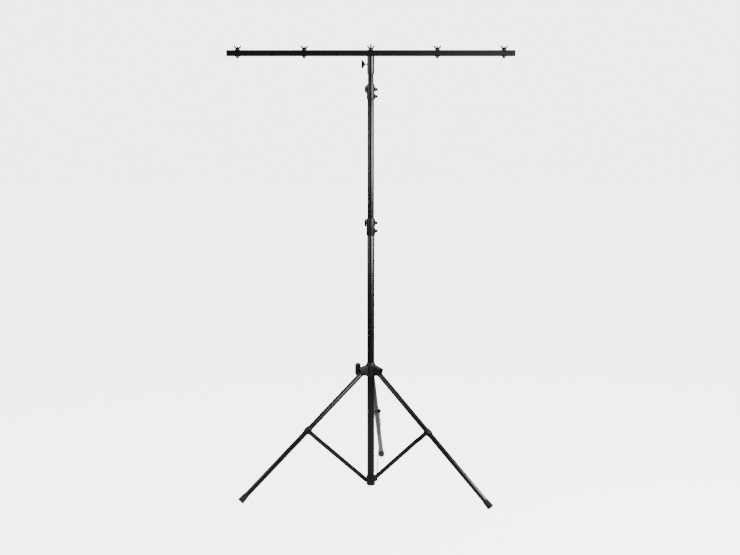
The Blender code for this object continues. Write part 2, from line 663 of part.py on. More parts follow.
def leg(number, frame):
    """A leg tube with its top plug, rubber foot and the clip that its brace bolts to."""
    lean = Matrix.Rotation(-LEG_SPREAD, 4, "Y")
    at_hub = frame @ shift(HUB_PIVOT_RADIUS, 0.0, HUB_PIVOT_HEIGHT) @ lean
    to_clip = shift(z=-LEG_TOP_LENGTH)
    # The first leg turns on its brace, and the others turn on the hub.
    if number == 1:
        joint = pivot(f"leg_{number}_axis", at_hub @ to_clip)
        top = to_clip.inverted()
    else:
        joint = pivot(f"leg_{number}_axis", at_hub)
        top = Matrix()
    clip_place = top @ to_clip

    end = -(LEG_LENGTH - FOOT_SOLE - SEAT)
    tube = ring(f"leg_tube_{number}", LEG_TUBE_RADIUS, LEG_TUBE_RADIUS - LEG_TUBE_WALL, end, LEG_HEAD, LEG_FACETS)
    part(tube, "powder_coat", joint, top)
    for place in (top, clip_place):
        hole = rod("leg_bolt_hole", PIVOT_BOLT_RADIUS + BOLT_PLAY, -0.02, 0.02)
        cut(tube, tool(hole, joint, place @ ACROSS))

    bore = LEG_TUBE_RADIUS - LEG_TUBE_WALL - SEAT
    seat = LEG_HEAD + SEAT
    cap = turned(
        f"leg_top_plug_{number}",
        [
            (0.0, seat + PLUG_FLANGE / 2),
            (LEG_TUBE_RADIUS - PLUG_CHAMFER, seat + PLUG_FLANGE / 2),
            (LEG_TUBE_RADIUS, seat + PLUG_FLANGE / 4),
            (LEG_TUBE_RADIUS, seat),
            (bore, seat),
            (bore, PIVOT_BOLT_RADIUS + 2 * BOLT_PLAY),
            (0.0, PIVOT_BOLT_RADIUS + 2 * BOLT_PLAY),
        ],
        LEG_FACETS,
    )
    part(cap, "plastic", joint, top)

    sole = -LEG_LENGTH
    rim = sole + FOOT_LENGTH
    inside = LEG_TUBE_RADIUS + SEAT
    foot = [(0.0, sole + FOOT_SOLE), (inside, sole + FOOT_SOLE), (inside, rim), (FOOT_TOP_RADIUS, rim)]
    ribs = 2
    for n in range(ribs):
        share = (n + 0.5) / ribs
        radius = FOOT_TOP_RADIUS + (FOOT_SOLE_RADIUS - FOOT_TOP_RADIUS) * share
        height = rim - 0.8 * FOOT_LENGTH * share
        foot += [(radius - FOOT_RIB, height + FOOT_RIB), (radius, height)]
    foot += [
        (FOOT_SOLE_RADIUS, sole + FOOT_SOLE / 2),
        (FOOT_SOLE_RADIUS, sole + FOOT_RIB),
        (FOOT_SOLE_RADIUS - FOOT_RIB, sole),
        (0.0, sole),
    ]
    part(turned(f"leg_foot_{number}", foot, LEG_FACETS), "rubber", joint, top)

    half = CLIP_LENGTH / 2
    clip = turned(
        f"leg_clip_{number}",
        [
            (CLIP_RADIUS - CLIP_WALL / 2, half),
            (CLIP_RADIUS, half - CLIP_WALL),
            (CLIP_RADIUS, CLIP_WALL - half),
            (CLIP_RADIUS - CLIP_WALL / 2, -half),
            (LEG_TUBE_RADIUS + SEAT, -half),
            (LEG_TUBE_RADIUS + SEAT, half),
        ],
        LEG_FACETS,
        hollow=True,
    )
    part(clip, "plastic", joint, clip_place)
    pad_start = LEG_TUBE_RADIUS + SEAT + CLIP_WALL / 4
    for side in (ACROSS, ACROSS.inverted()):
        join(clip, tool(rod("pad", CLIP_PAD_RADIUS, pad_start, CLIP_FACE), joint, clip_place @ side))
    inside_cut = rod("clip_bore", LEG_TUBE_RADIUS + SEAT, -CLIP_LENGTH, CLIP_LENGTH, LEG_FACETS)
    cut(clip, tool(inside_cut, joint, clip_place))
    cut(clip, tool(rod("clip_hole", PIVOT_BOLT_RADIUS + BOLT_PLAY, -0.02, 0.02), joint, clip_place @ ACROSS))

    head_seat = BRACE_CLIP_OFFSET + BRACE_THICKNESS / 2 + SEAT
    nut_seat = CLIP_FACE + SEAT
    length = head_seat + nut_seat
    bolt = hex_bolt("bolt", PIVOT_HEAD_RADIUS, PIVOT_HEAD_LENGTH, PIVOT_BOLT_RADIUS, length)
    join(bolt, tool(rod("lock_nut", PIVOT_HEAD_RADIUS, length, length + PIVOT_HEAD_LENGTH, 6)))
    inward = clip_place @ shift(0.0, -head_seat) @ ACROSS.inverted()
    placed(f"leg_clip_bolt_{number}", baked(bolt), "black_zinc", joint, inward)


def brace(number, frame):
    """A flat bar with round ends, joggled from the base collar's lug in to the leg's clip."""
    along = Matrix.Rotation(pi / 2 - BRACE_ANGLE, 4, "Z")
    joint = pivot(f"brace_{number}_axis", frame @ shift(BASE_PIVOT_RADIUS, 0.0, BASE_PIVOT_HEIGHT))
    bar = plate(f"brace_{number}", stadium(BRACE_LENGTH, BRACE_WIDTH), BRACE_THICKNESS)
    bend_end = BRACE_LENGTH - JOGGLE_START
    bend_start = bend_end - JOGGLE_LENGTH
    bm = bmesh.new()
    bm.from_mesh(bar.data)
    for n in range(JOGGLE_STEPS + 1):
        station = bend_start + JOGGLE_LENGTH * n / JOGGLE_STEPS
        faces = bm.verts[:] + bm.edges[:] + bm.faces[:]
        bmesh.ops.bisect_plane(bm, geom=faces, plane_co=(station, 0.0, 0.0), plane_no=(1.0, 0.0, 0.0))
    for vertex in bm.verts:
        share = min(max((vertex.co.x - bend_start) / JOGGLE_LENGTH, 0.0), 1.0)
        eased = (1.0 - cos(pi * share)) / 2
        vertex.co.z += BRACE_BASE_OFFSET + (BRACE_CLIP_OFFSET - BRACE_BASE_OFFSET) * eased
    bm.to_mesh(bar.data)
    bm.free()
    part(bar, "powder_coat", joint, ACROSS @ along)
    for x, play in ((0.0, BOLT_PLAY), (BRACE_LENGTH, PIVOT_PLAY)):
        hole = rod("brace_hole", PIVOT_BOLT_RADIUS + play, 0.0, 0.05)
        cut(bar, tool(hole, joint, ACROSS @ along @ shift(x)))


def t_bar(carrier):
    """The T-bar: a square tube on a socket that drops over the mast, with its bolts, nuts and screw."""
    half = T_BAR_LENGTH / 2
    cap_seat = half - END_CAP_THICKNESS - SEAT
    across = shift(z=T_BAR_HEIGHT) @ OUTWARDS
    bar = plate("t_bar_tube", rounded_square(T_BAR_SIZE, T_BAR_CORNER), 2 * cap_seat)
    part(bar, "powder_coat", carrier, across)
    places = [T_BAR_BOLT_PITCH * (n - (T_BAR_BOLT_COUNT - 1) / 2) for n in range(T_BAR_BOLT_COUNT)]
    for x in places:
        hole = rod("bar_hole", T_BAR_BOLT_RADIUS + BOLT_PLAY, -T_BAR_SIZE, T_BAR_SIZE)
        cut(bar, tool(hole, carrier, shift(x, 0.0, T_BAR_HEIGHT)))
    inside = T_BAR_SIZE - 2 * T_BAR_WALL
    inner_corner = T_BAR_CORNER - T_BAR_WALL
    hollow = plate("bar_hollow", rounded_square(inside, inner_corner, 2), T_BAR_LENGTH + 0.02)
    cut(bar, tool(hollow, carrier, across))

    for name, side in (("left", -1), ("right", 1)):
        turn = LEFTWARDS if side < 0 else OUTWARDS
        place = shift(side * (half - END_CAP_THICKNESS / 2), 0.0, T_BAR_HEIGHT) @ turn
        cap = plate(f"t_bar_end_cap_{name}", rounded_square(T_BAR_SIZE, T_BAR_CORNER), END_CAP_THICKNESS)
        part(cap, "plastic", carrier, place)
        spigot_side = inside - 2 * SEAT
        spigot = plate("spigot", rounded_square(spigot_side, inner_corner, 2), END_CAP_SPIGOT + END_CAP_THICKNESS)
        join(cap, tool(spigot, carrier, place @ shift(z=-END_CAP_SPIGOT / 2 - END_CAP_THICKNESS / 4)))

    socket_top = T_BAR_BOTTOM - SEAT
    socket_bottom = socket_top - SOCKET_LENGTH
    screw_height = T_BAR_BOTTOM - THUMB_SCREW_DROP
    socket_bore = TOP_TUBE_RADIUS + SLIDE
    socket = turned(
        "t_bar_socket",
        [
            (SOCKET_RADIUS, socket_top),
            (SOCKET_RADIUS, socket_bottom + SOCKET_CHAMFER),
            (SOCKET_RADIUS - SOCKET_CHAMFER, socket_bottom),
            (socket_bore, socket_bottom),
            (socket_bore, socket_top),
        ],
        MAST_FACETS,
        hollow=True,
    )
    part(socket, "powder_coat", carrier)
    thread = rod("thread_hole", THUMB_SCREW_RADIUS + BOLT_PLAY, 0.0, 0.03)
    cut(socket, tool(thread, carrier, shift(z=screw_height) @ LEFTWARDS))

    head_seat = T_BAR_BOTTOM - SEAT
    nut_seat = T_BAR_TOP + SEAT
    length = nut_seat - head_seat + WASHER_THICKNESS + T_BAR_BOLT_RISE
    for number, x in enumerate(places, 1):
        reach = length if x else length + CENTRE_BOLT_EXTRA
        bolt = flange_bolt(f"t_bar_bolt_{number}", reach)
        placed(f"t_bar_bolt_{number}", baked(bolt), "black_zinc", carrier, shift(x, 0.0, head_seat))
        wing_nut(number, pivot(f"wing_nut_{number}_axis", shift(x, 0.0, nut_seat), carrier))
    thumb_screw(pivot("t_bar_thumb_screw_axis", shift(z=screw_height), carrier))


def flange_bolt(name, length):
    """A hexagon bolt with a washer face, whose seat lies at z = 0. The shank runs up from it."""
    under = -WASHER_THICKNESS
    bolt = tool(rod(name, BOLT_HEAD_RADIUS, under - BOLT_HEAD_LENGTH, under / 2, 6))
    join(bolt, tool(rod(name + "_washer", WASHER_RADIUS, under, 0.0)))
    join(bolt, tool(rod(name + "_shank", T_BAR_BOLT_RADIUS, under - BOLT_HEAD_LENGTH / 2, length, THIN_FACETS)))
    return bolt


def wing_nut(number, joint):
    """A cone on a washer face, with two upswept wings."""
    bore = T_BAR_BOLT_RADIUS + BOLT_PLAY
    cone = [
        (0.0, NUT_HEIGHT),
        (NUT_TOP_RADIUS, NUT_HEIGHT),
        (NUT_RADIUS, WASHER_THICKNESS + NUT_HEIGHT / 8),
        (WASHER_RADIUS, WASHER_THICKNESS),
        (WASHER_RADIUS, 0.0),
        (0.0, 0.0),
    ]
    nut = part(turned(f"wing_nut_{number}", cone, SMALL_FACETS), "black_zinc", joint)
    foot = NUT_HEIGHT / 3
    tip = (WING_SPAN - WING_WIDTH / 2, WING_HEIGHT - WING_WIDTH / 2)
    outline = [(bore / 2, foot), (NUT_RADIUS, foot), (WING_SPAN, tip[1])]
    outline += arc(tip, WING_WIDTH / 2, 0.0, pi * 0.8, 5)
    outline += [(NUT_TOP_RADIUS, NUT_HEIGHT), (bore / 2, NUT_HEIGHT * 0.9)]
    for turn in (Matrix(), Matrix.Rotation(pi, 4, "Z")):
        wing = plate("wing", outline, WING_THICKNESS)
        join(nut, tool(wing, joint, turn @ ACROSS))
    cut(nut, tool(rod("nut_thread", bore, -0.01, 2 * NUT_HEIGHT), joint))


def thumb_screw(joint):
    """The screw that locks the socket to the top tube, with a flat three-cornered head."""
    tip = TOP_TUBE_RADIUS + SEAT
    neck = THUMB_HEAD_REACH - THUMB_HEAD_DEPTH
    screw = rod("t_bar_thumb_screw", THUMB_SCREW_RADIUS, tip, neck + THUMB_HEAD_DEPTH / 2)
    part(screw, "black_zinc", joint, LEFTWARDS)
    half = THUMB_HEAD_HEIGHT / 2
    corner = THUMB_HEAD_THICKNESS / 2
    outline = [(THUMB_HUB_RADIUS, neck)]
    outline += arc((half - corner, THUMB_HEAD_REACH - corner), corner, 0.0, pi / 2, 4)
    outline += arc((corner - half, THUMB_HEAD_REACH - corner), corner, pi / 2, pi, 4)
    outline += [(-THUMB_HUB_RADIUS, neck)]
    upright = LEFTWARDS @ ACROSS
    join(screw, tool(plate("thumb_head", outline, THUMB_HEAD_THICKNESS), joint, upright))
    hub_end = THUMB_HEAD_REACH - corner
    join(screw, tool(rod("thumb_hub", THUMB_HUB_RADIUS, neck, hub_end), joint, LEFTWARDS))


def main():
    clear_scene()
    planes = [Matrix.Rotation(TRIPOD_TURN + pi / 2 + 2 * pi * n / LEG_COUNT, 4, "Z") for n in range(LEG_COUNT)]

    mast_tube("lower_mast_tube", LOWER_TUBE_RADIUS, 0.0, LOWER_TUBE_TOP, None)
    part(tube_plug("mast_base_plug", LOWER_TUBE_RADIUS, TUBE_WALL, 0.0), "plastic")
    base_collar(None, planes)
    clamp(
        "lower_clamp",
        LOWER_TUBE_RADIUS,
        MIDDLE_TUBE_RADIUS,
        LOWER_TUBE_TOP,
        LOWER_COLLAR_ABOVE,
        LOWER_COLLAR_BELOW,
        LOWER_KNOB_RISE,
        LOWER_FIXING_DROP,
        None,
    )

    middle = pivot("middle_mast_axis", Matrix())
    middle_bottom = MIDDLE_TUBE_TOP - MIDDLE_TUBE_LENGTH
    mast_tube("middle_mast_tube", MIDDLE_TUBE_RADIUS, middle_bottom, MIDDLE_TUBE_TOP, middle)
    part(tube_plug("middle_tube_plug", MIDDLE_TUBE_RADIUS, TUBE_WALL, middle_bottom), "plastic", middle)
    clamp(
        "upper_clamp",
        MIDDLE_TUBE_RADIUS,
        TOP_TUBE_RADIUS,
        MIDDLE_TUBE_TOP,
        UPPER_COLLAR_ABOVE,
        UPPER_COLLAR_BELOW,
        UPPER_KNOB_RISE,
        UPPER_FIXING_DROP,
        middle,
    )

    top = pivot("top_mast_axis", Matrix(), middle)
    top_bottom = TOP_TUBE_TOP - TOP_TUBE_LENGTH
    mast_tube("top_mast_tube", TOP_TUBE_RADIUS, top_bottom, TOP_TUBE_TOP, top)
    part(tube_plug("top_tube_plug", TOP_TUBE_RADIUS, TUBE_WALL, top_bottom), "plastic", top)
    t_bar(pivot("t_bar_axis", Matrix(), top))

    hub(pivot("hub_axis", shift(z=HUB_PIVOT_HEIGHT)), planes)
    for number, plane in enumerate(planes, 1):
        leg(number, plane)
        brace(number, plane)
    bpy.context.view_layer.update()


main()
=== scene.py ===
"""The finished surfaces of a telescopic lighting stand, its studio and its camera."""

from math import asin, cos, pi, radians, sin

import bmesh
import bpy
import numpy as np
from mathutils import Matrix, Vector


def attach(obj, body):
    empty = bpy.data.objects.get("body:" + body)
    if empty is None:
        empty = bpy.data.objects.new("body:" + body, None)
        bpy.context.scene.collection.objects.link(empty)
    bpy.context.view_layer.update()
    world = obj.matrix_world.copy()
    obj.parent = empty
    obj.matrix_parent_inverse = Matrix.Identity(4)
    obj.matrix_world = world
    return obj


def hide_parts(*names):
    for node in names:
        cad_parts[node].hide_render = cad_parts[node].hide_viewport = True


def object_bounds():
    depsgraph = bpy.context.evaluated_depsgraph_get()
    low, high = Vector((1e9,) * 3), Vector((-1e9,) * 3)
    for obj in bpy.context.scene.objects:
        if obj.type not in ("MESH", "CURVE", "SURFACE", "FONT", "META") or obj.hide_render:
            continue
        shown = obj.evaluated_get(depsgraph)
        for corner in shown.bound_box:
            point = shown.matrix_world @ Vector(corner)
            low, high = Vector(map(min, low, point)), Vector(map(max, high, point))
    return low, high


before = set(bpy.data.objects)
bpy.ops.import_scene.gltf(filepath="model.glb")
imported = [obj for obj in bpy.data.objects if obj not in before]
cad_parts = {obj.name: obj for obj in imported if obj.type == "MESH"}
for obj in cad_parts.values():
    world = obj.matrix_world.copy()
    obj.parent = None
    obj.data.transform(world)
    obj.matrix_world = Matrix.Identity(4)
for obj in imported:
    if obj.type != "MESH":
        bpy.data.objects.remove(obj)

cad_low, cad_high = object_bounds()

# Clearances, in metres as all sizes are
SEAT = 0.0003
SLIDE = 0.0004
HUB_PLAY = 0.0005

# Mast
TUBE_WALL = 0.0012
LOWER_TUBE_RADIUS = 0.0159
LOWER_TUBE_TOP = 1.140
MIDDLE_TUBE_LENGTH = 1.080
MIDDLE_TUBE_REACH = 0.582
TOP_TUBE_LENGTH = 1.036
TOP_TUBE_REACH = 0.1453
PLUG_FLANGE = 0.003
PLUG_DEPTH = 0.022
PLUG_WALL = 0.002
MIDDLE_TUBE_RADIUS = LOWER_TUBE_RADIUS - TUBE_WALL - SLIDE
TOP_TUBE_RADIUS = MIDDLE_TUBE_RADIUS - TUBE_WALL - SLIDE
MIDDLE_TUBE_TOP = LOWER_TUBE_TOP + MIDDLE_TUBE_REACH
TOP_TUBE_TOP = MIDDLE_TUBE_TOP + TOP_TUBE_REACH

# Clamps
LOWER_COLLAR_ABOVE = 0.0405
LOWER_COLLAR_BELOW = 0.0340
LOWER_KNOB_RISE = 0.0200
LOWER_FIXING_DROP = 0.0150
UPPER_COLLAR_ABOVE = 0.0350
UPPER_COLLAR_BELOW = 0.0295
UPPER_KNOB_RISE = 0.0150
UPPER_FIXING_DROP = 0.0150
COLLAR_WALL = 0.0028
INSERT_LIP = 0.0020
EAR_RADIUS = 0.0095
EAR_RIGHT = 0.0215
FIXING_EAR_LEFT = 0.0125
EAR_SPLIT = 0.0020
BAND_SLIT = 0.0040
CLAMP_BOLT_RADIUS = 0.0040
CLAMP_BOLT_REACH = 0.0050
KNOB_RADIUS = 0.0185
KNOB_LOBE = 0.0018
KNOB_LOBES = 5
KNOB_THICKNESS = 0.0090
KNOB_FLANGE = 0.0045
KNOB_DOME_RADIUS = 0.0140
KNOB_TIP_RADIUS = 0.0055
CAP_NUT_HEX = 0.0075
CAP_NUT_HEX_LENGTH = 0.0055
CAP_NUT_DOME = 0.0040
BUTTON_RADIUS = 0.0065
BUTTON_LENGTH = 0.0050

# Tripod
TRIPOD_TURN = radians(-5.0)
BASE_PIVOT_RADIUS = 0.0160
BASE_PIVOT_HEIGHT = 0.0229
HUB_PIVOT_RADIUS = 0.0400
LEG_SPREAD = radians(48.1)
LEG_TOP_LENGTH = 0.3480
LEG_LENGTH = 0.7640
LEG_HEAD = 0.0065
LEG_PLUG_FLANGE = 0.0015
LEG_RADIUS = 0.0111
FOOT_LENGTH = 0.0360
FOOT_SOLE = 0.0060
FOOT_TOP_RADIUS = 0.0128
FOOT_SOLE_RADIUS = 0.0148
CLIP_LENGTH = 0.0280
CLIP_WALL = 0.0025
CLIP_PAD_RADIUS = 0.0085
CLIP_PAD_HEIGHT = 0.0009
PIVOT_BOLT_RADIUS = 0.0030
PIVOT_HEAD_RADIUS = 0.0055
PIVOT_HEAD_LENGTH = 0.0040
BRACE_LENGTH = 0.3780
BRACE_WIDTH = 0.0190
BRACE_THICKNESS = 0.0025
JOGGLE_START = 0.0300
JOGGLE_LENGTH = 0.0400
BASE_COLLAR_RADIUS = 0.0195
BASE_COLLAR_BOTTOM = 0.0040
BASE_COLLAR_TOP = 0.0440
LUG_RADIUS = 0.0095
LUG_FACE = 0.0224
LUG_ROOT = 0.0095  # no lug starts nearer to its leg's plane than this
BASE_BOLT_LENGTH = 0.0085
CLIP_PIVOT_RADIUS = HUB_PIVOT_RADIUS + LEG_TOP_LENGTH * sin(LEG_SPREAD)
BRACE_ANGLE = asin((CLIP_PIVOT_RADIUS - BASE_PIVOT_RADIUS) / BRACE_LENGTH)
CLIP_PIVOT_HEIGHT = BASE_PIVOT_HEIGHT + BRACE_LENGTH * cos(BRACE_ANGLE)
HUB_PIVOT_HEIGHT = CLIP_PIVOT_HEIGHT + LEG_TOP_LENGTH * cos(LEG_SPREAD)
CLIP_RADIUS = LEG_RADIUS + SEAT + CLIP_WALL
CLIP_FACE = CLIP_RADIUS + CLIP_PAD_HEIGHT
BRACE_BASE_OFFSET = LUG_FACE + SEAT + BRACE_THICKNESS / 2
BRACE_CLIP_OFFSET = CLIP_FACE + SEAT + BRACE_THICKNESS / 2

# Hub
HUB_BUSH_WALL = 0.0019
HUB_SLEEVE_WALL = 0.0064
HUB_RISE = 0.0370
HUB_DROP = 0.0155
HUB_NECK_RADIUS = 0.0199
HUB_NECK_FALL = 0.0080
HUB_BUSH_LIP = 0.0057
HUB_LIP_WALL = 0.0010
BRACKET_WALL = 0.0020
BRACKET_CLEARANCE = 0.0006
BRACKET_ROOT = 0.0195
BRACKET_REACH = 0.0570
BRACKET_SHOULDER = 0.0240
BRACKET_RISE = 0.0310
BRACKET_DROP = 0.0116
BRACKET_FALL = 0.0120
BRACKET_NOSE = 0.0080
BRACKET_HEEL = 0.0490
BRACKET_ROUND_OUTSIDE = 0.0034
BRACKET_ROUND_INSIDE = 0.0014
BRACKET_NOSE_ROUND = 0.0030  # the last stretch, over which the top dips by BRACKET_NOSE_DIP
BRACKET_NOSE_DIP = 0.0012
HUB_BOSS_RADIUS = 0.0080
HUB_BOSS_FLARE = 0.0015
HUB_BOSS_REACH = 0.0330
HUB_BOSS_RISE = 0.0065
HUB_KNOB_REACH = 0.0790
HUB_KNOB_HEIGHT = 0.0570
HUB_KNOB_WIDTH = 0.0240
HUB_KNOB_THICKNESS = 0.0190
HUB_KNOB_STEM_RADIUS = 0.0075
HUB_BUSH_BORE = LOWER_TUBE_RADIUS + HUB_PLAY
HUB_BORE = HUB_BUSH_BORE + HUB_BUSH_WALL + SEAT
HUB_RADIUS = HUB_BORE + HUB_SLEEVE_WALL
BRACKET_INSIDE = LEG_RADIUS + BRACKET_CLEARANCE
BRACKET_OUTSIDE = BRACKET_INSIDE + BRACKET_WALL

# T-bar
T_BAR_LENGTH = 1.2400
T_BAR_SIZE = 0.0254
T_BAR_WALL = 0.0015
T_BAR_CORNER = 0.0030
T_BAR_BOLT_COUNT = 5
T_BAR_BOLT_INSET = 0.0480
T_BAR_BOLT_PITCH = (T_BAR_LENGTH - 2 * T_BAR_BOLT_INSET) / (T_BAR_BOLT_COUNT - 1)
T_BAR_BOLT_RADIUS = 0.0040
T_BAR_BOLT_RISE = 0.0130
THREAD_START = 0.0280  # above the bolt's seat
THREAD_PITCH = 0.00125
THREAD_DEPTH = 0.0004
CENTRE_BOLT_EXTRA = 0.0105
BOLT_HEAD_RADIUS = 0.0075
BOLT_HEAD_LENGTH = 0.0075
WASHER_RADIUS = 0.0105
WASHER_THICKNESS = 0.0020
END_CAP_THICKNESS = 0.0030
END_CAP_SPIGOT = 0.0120
SOCKET_LENGTH = 0.0750
SOCKET_RADIUS = 0.0159
THUMB_SCREW_DROP = 0.0342
THUMB_SCREW_RADIUS = 0.0030
THUMB_HEAD_REACH = 0.0405
THUMB_HEAD_DEPTH = 0.0150
THUMB_HEAD_HEIGHT = 0.0380
THUMB_HEAD_THICKNESS = 0.0070
THUMB_HUB_RADIUS = 0.0055
THUMB_SHOULDER_DROP = 0.0055
THUMB_RIM_INSET = 0.0012
NUT_RADIUS = 0.0085
NUT_HEIGHT = 0.0090
NUT_TOP_RADIUS = 0.0060
WING_SPAN = 0.0170
WING_HEIGHT = 0.0205
WING_ROOT = (0.0050, 0.0045)  # out from the bolt and up from the washer
WING_TIP_INSET = (0.0012, 0.0010)
WING_HALF_WIDTH = 0.0040
WING_NARROWING = 0.0008  # what the half width loses up to the tip
WING_HALF_THICKNESS = 0.0017
WING_THINNING = 0.0006
T_BAR_BOTTOM = TOP_TUBE_TOP + BOLT_HEAD_LENGTH + WASHER_THICKNESS + 3 * SEAT
T_BAR_HEIGHT = T_BAR_BOTTOM + T_BAR_SIZE / 2
T_BAR_TOP = T_BAR_BOTTOM + T_BAR_SIZE

# How far two shells of one piece reach into each other, and the angle from which an edge is shaded sharp
JOIN = 0.0010
SHARP_ANGLE = radians(38.0)

# Studio: the strengths of the backdrop, the room and the overhead light, then each soft light with its place,
# its aim, its size and its power. The last two are the floor's own glow, as far as the stand catches it.
BACKDROP = 4.5
ROOM = 0.08
OVERHEAD = 0.4
OVERHEAD_PLACE = (-0.8, -0.6, 6.0)
OVERHEAD_SPREAD = radians(60.0)
FLOOR_REACH = 60.0
FLOOR_GAP = 0.0002
GLOW_HEIGHT = -0.0148  # just over the floor
SOFT_LIGHTS = (
    ("right_softbox", (2.3, -1.9, 2.15), (0.0, 0.0, 1.65), (3.0, 1.3), 182.0),
    ("left_softbox", (-2.7, -1.3, 2.10), (0.0, 0.0, 1.65), (2.0, 1.2), 27.0),
    ("back_softbox", (0.0, 2.5, 3.6), (0.0, 0.0, 0.9), (4.0, 1.2), 40.0),
    ("floor_glow", (0.0, 0.0, GLOW_HEIGHT), (0.0, 0.0, 1.0), (2.8, 2.8), 9.5),
    ("back_floor_glow", (0.0, 0.75, GLOW_HEIGHT), (0.0, 0.75, 1.0), (1.6, 1.3), 5.0),
)

# Camera, solved from the photograph: the lens and the sensor's width are in millimetres
LENS = 62.73
SENSOR_WIDTH = 36.0
CAMERA_PLACE = (-0.0034, -5.6, 1.4495)
CAMERA_TILT = radians(84.63)
FAR_CLIP = 200.0

HERE = Matrix()
ACROSS = Matrix.Rotation(pi / 2, 4, "X")
OUTWARDS = Matrix.Rotation(pi / 2, 4, "Y")
LEFTWARDS = Matrix.Rotation(-pi / 2, 4, "Y")
TURNED_OVER = Matrix.Rotation(pi, 4, "X")


def shift(x=0.0, y=0.0, z=0.0):
    """A move without a turn."""
    return Matrix.Translation((x, y, z))


# ---------------------------------------------------------------- surfaces


def laid(points, place):
    """Points in a piece's own axes, taken to the stand's: rotation times point, plus offset."""
    matrix = np.array(place)
    return points @ matrix[:3, :3].T + matrix[:3, 3]


def eased(corners, steps=4, ring=True):
    """A polygon whose corners (x, y, radius) become arcs tangent to both their sides."""
    corners = [tuple(c) for c in corners]
    out = []
    for i, (x, y, radius) in enumerate(corners):
        p = np.array((x, y))
        if radius == 0 or (not ring and i in (0, len(corners) - 1)):
            out.append(p[None])
            continue
        a = np.array(corners[i - 1][:2]) - p
        b = np.array(corners[(i + 1) % len(corners)][:2]) - p
        long_a, long_b = np.linalg.norm(a), np.linalg.norm(b)
        a, b = a / long_a, b / long_b
        half = np.arccos(np.clip(a @ b, -1, 1)) / 2
        reach = min(radius / np.tan(half), 0.49 * long_a, 0.49 * long_b)
        radius = reach * np.tan(half)
        centre = p + (a + b) / np.linalg.norm(a + b) * radius / np.sin(half)
        start, end = p + a * reach - centre, p + b * reach - centre
        sweep = pi - 2 * half
        t = np.linspace(0, 1, steps + 1)[:, None]
        out.append(centre + (np.sin((1 - t) * sweep) * start + np.sin(t * sweep) * end) / np.sin(sweep))
    return np.concatenate(out)


def turned(profile, place=HERE, ring=False, facets=72):
    """A profile of (radius r, height h) carried round z: x = r cos a, y = r sin a, z = h."""
    profile = np.asarray(profile, float)
    a = np.linspace(0, 2 * pi, facets, endpoint=False)
    r, h = profile[:, :1], profile[:, 1:]
    grid = np.stack([r * np.cos(a), r * np.sin(a), h + 0 * a], -1)
    return {"grid": laid(grid, place), "ring": ring, "caps": False}


def slab(outline, low, high, place=HERE, edge=0.0006, steps=3):
    """An outline carried along z. Near each end it draws in along its own normals by a quarter circle."""
    outline = np.asarray(outline, float)
    tangent = np.roll(outline, -1, 0) - np.roll(outline, 1, 0)
    normal = np.stack([tangent[:, 1], -tangent[:, 0]], -1)
    normal /= np.linalg.norm(normal, axis=1, keepdims=True)
    turn = np.linspace(0, pi / 2, steps + 1)
    # One more ring, a little inside each end's rim, keeps the end face's shading flat.
    inset = np.concatenate([[1.35], 1 - np.sin(turn)]) * edge
    rise = np.concatenate([[0], 1 - np.cos(turn)]) * edge
    inset = np.concatenate([inset, inset[::-1]])
    height = np.concatenate([low + rise, (high - rise)[::-1]])
    flat = outline[None] - normal[None] * inset[:, None, None]
    grid = np.concatenate([flat, np.broadcast_to(height[:, None, None], flat.shape[:2] + (1,))], -1)
    return {"grid": laid(grid, place), "ring": False, "caps": True}


def carried(grid, place=HERE):
    """A closed loop carried along a line: rows are the stations and columns go round the loop."""
    return {"grid": laid(np.asarray(grid, float), place), "ring": False, "caps": True}


def hexagon(radius, count=12):
    """A hexagon's outline sampled evenly in angle: r = apothem / cos(angle from the flat's middle)."""
    a = np.linspace(0, 2 * pi, 6 * count, endpoint=False)
    away = (a + pi / 6) % (pi / 3) - pi / 6
    return a, radius * cos(pi / 6) / np.cos(away)


def hex_head(radius, low, high, place=HERE):
    """A hexagon prism whose far face is chamfered by a cone: r = min(hexagon, cone at that height)."""
    a, hexed = hexagon(radius)
    length = high - low
    cone = np.array([0.94, 1.0, 1.0, 0.975, 0.93, 0.875, 0.8]) * radius
    height = low + np.array([0.0, 0.05, 0.72, 0.84, 0.93, 0.98, 1.0]) * length
    r = np.minimum(hexed[None], cone[:, None])
    grid = np.stack([r * np.cos(a), r * np.sin(a), height[:, None] + 0 * r], -1)
    return {"grid": laid(grid, place), "ring": False, "caps": True}


def shank(radius, high, low):
    """A plain rod's profile, from the axis at its far end to the axis at its near end."""
    return [(0, high), (radius, high), (radius, low), (0, low)]


def stadium(length, width, steps=24):
    """A strip round both ends, centred on the origin along x."""
    half = width / 2
    a = np.linspace(-pi / 2, pi / 2, steps + 1)
    right = np.stack([length / 2 - half + half * np.cos(a), half * np.sin(a)], -1)
    return np.concatenate([right, -right])


def threaded(radius, low, high):
    """A thread's flanks as rings: r = radius - depth * (1 - triangle wave of the height)."""
    count = max(2, int((high - low) / THREAD_PITCH))
    height = np.linspace(low, high, 2 * count + 1)
    r = np.where(np.arange(2 * count + 1) % 2 == 0, radius - THREAD_DEPTH, radius)
    rings = np.stack([r, height], -1)
    return np.concatenate([[(0, high)], rings[::-1], [(0, low)]])


def faces_of(shell, first):
    """Quads between neighbours of a grid, and a polygon over each open end."""
    rows, columns = shell["grid"].shape[:2]
    r = np.arange(rows if shell["ring"] else rows - 1)
    r, c = np.meshgrid(r, np.arange(columns), indexing="ij")
    near, far = r * columns, (r + 1) % rows * columns
    side = (c + 1) % columns
    quads = np.stack([near + c, near + side, far + side, far + c], -1).reshape(-1, 4) + first
    faces = quads.tolist()
    if shell["caps"]:
        faces.append((np.arange(columns)[::-1] + first).tolist())
        faces.append((np.arange(columns) + (rows - 1) * columns + first).tolist())
    return faces


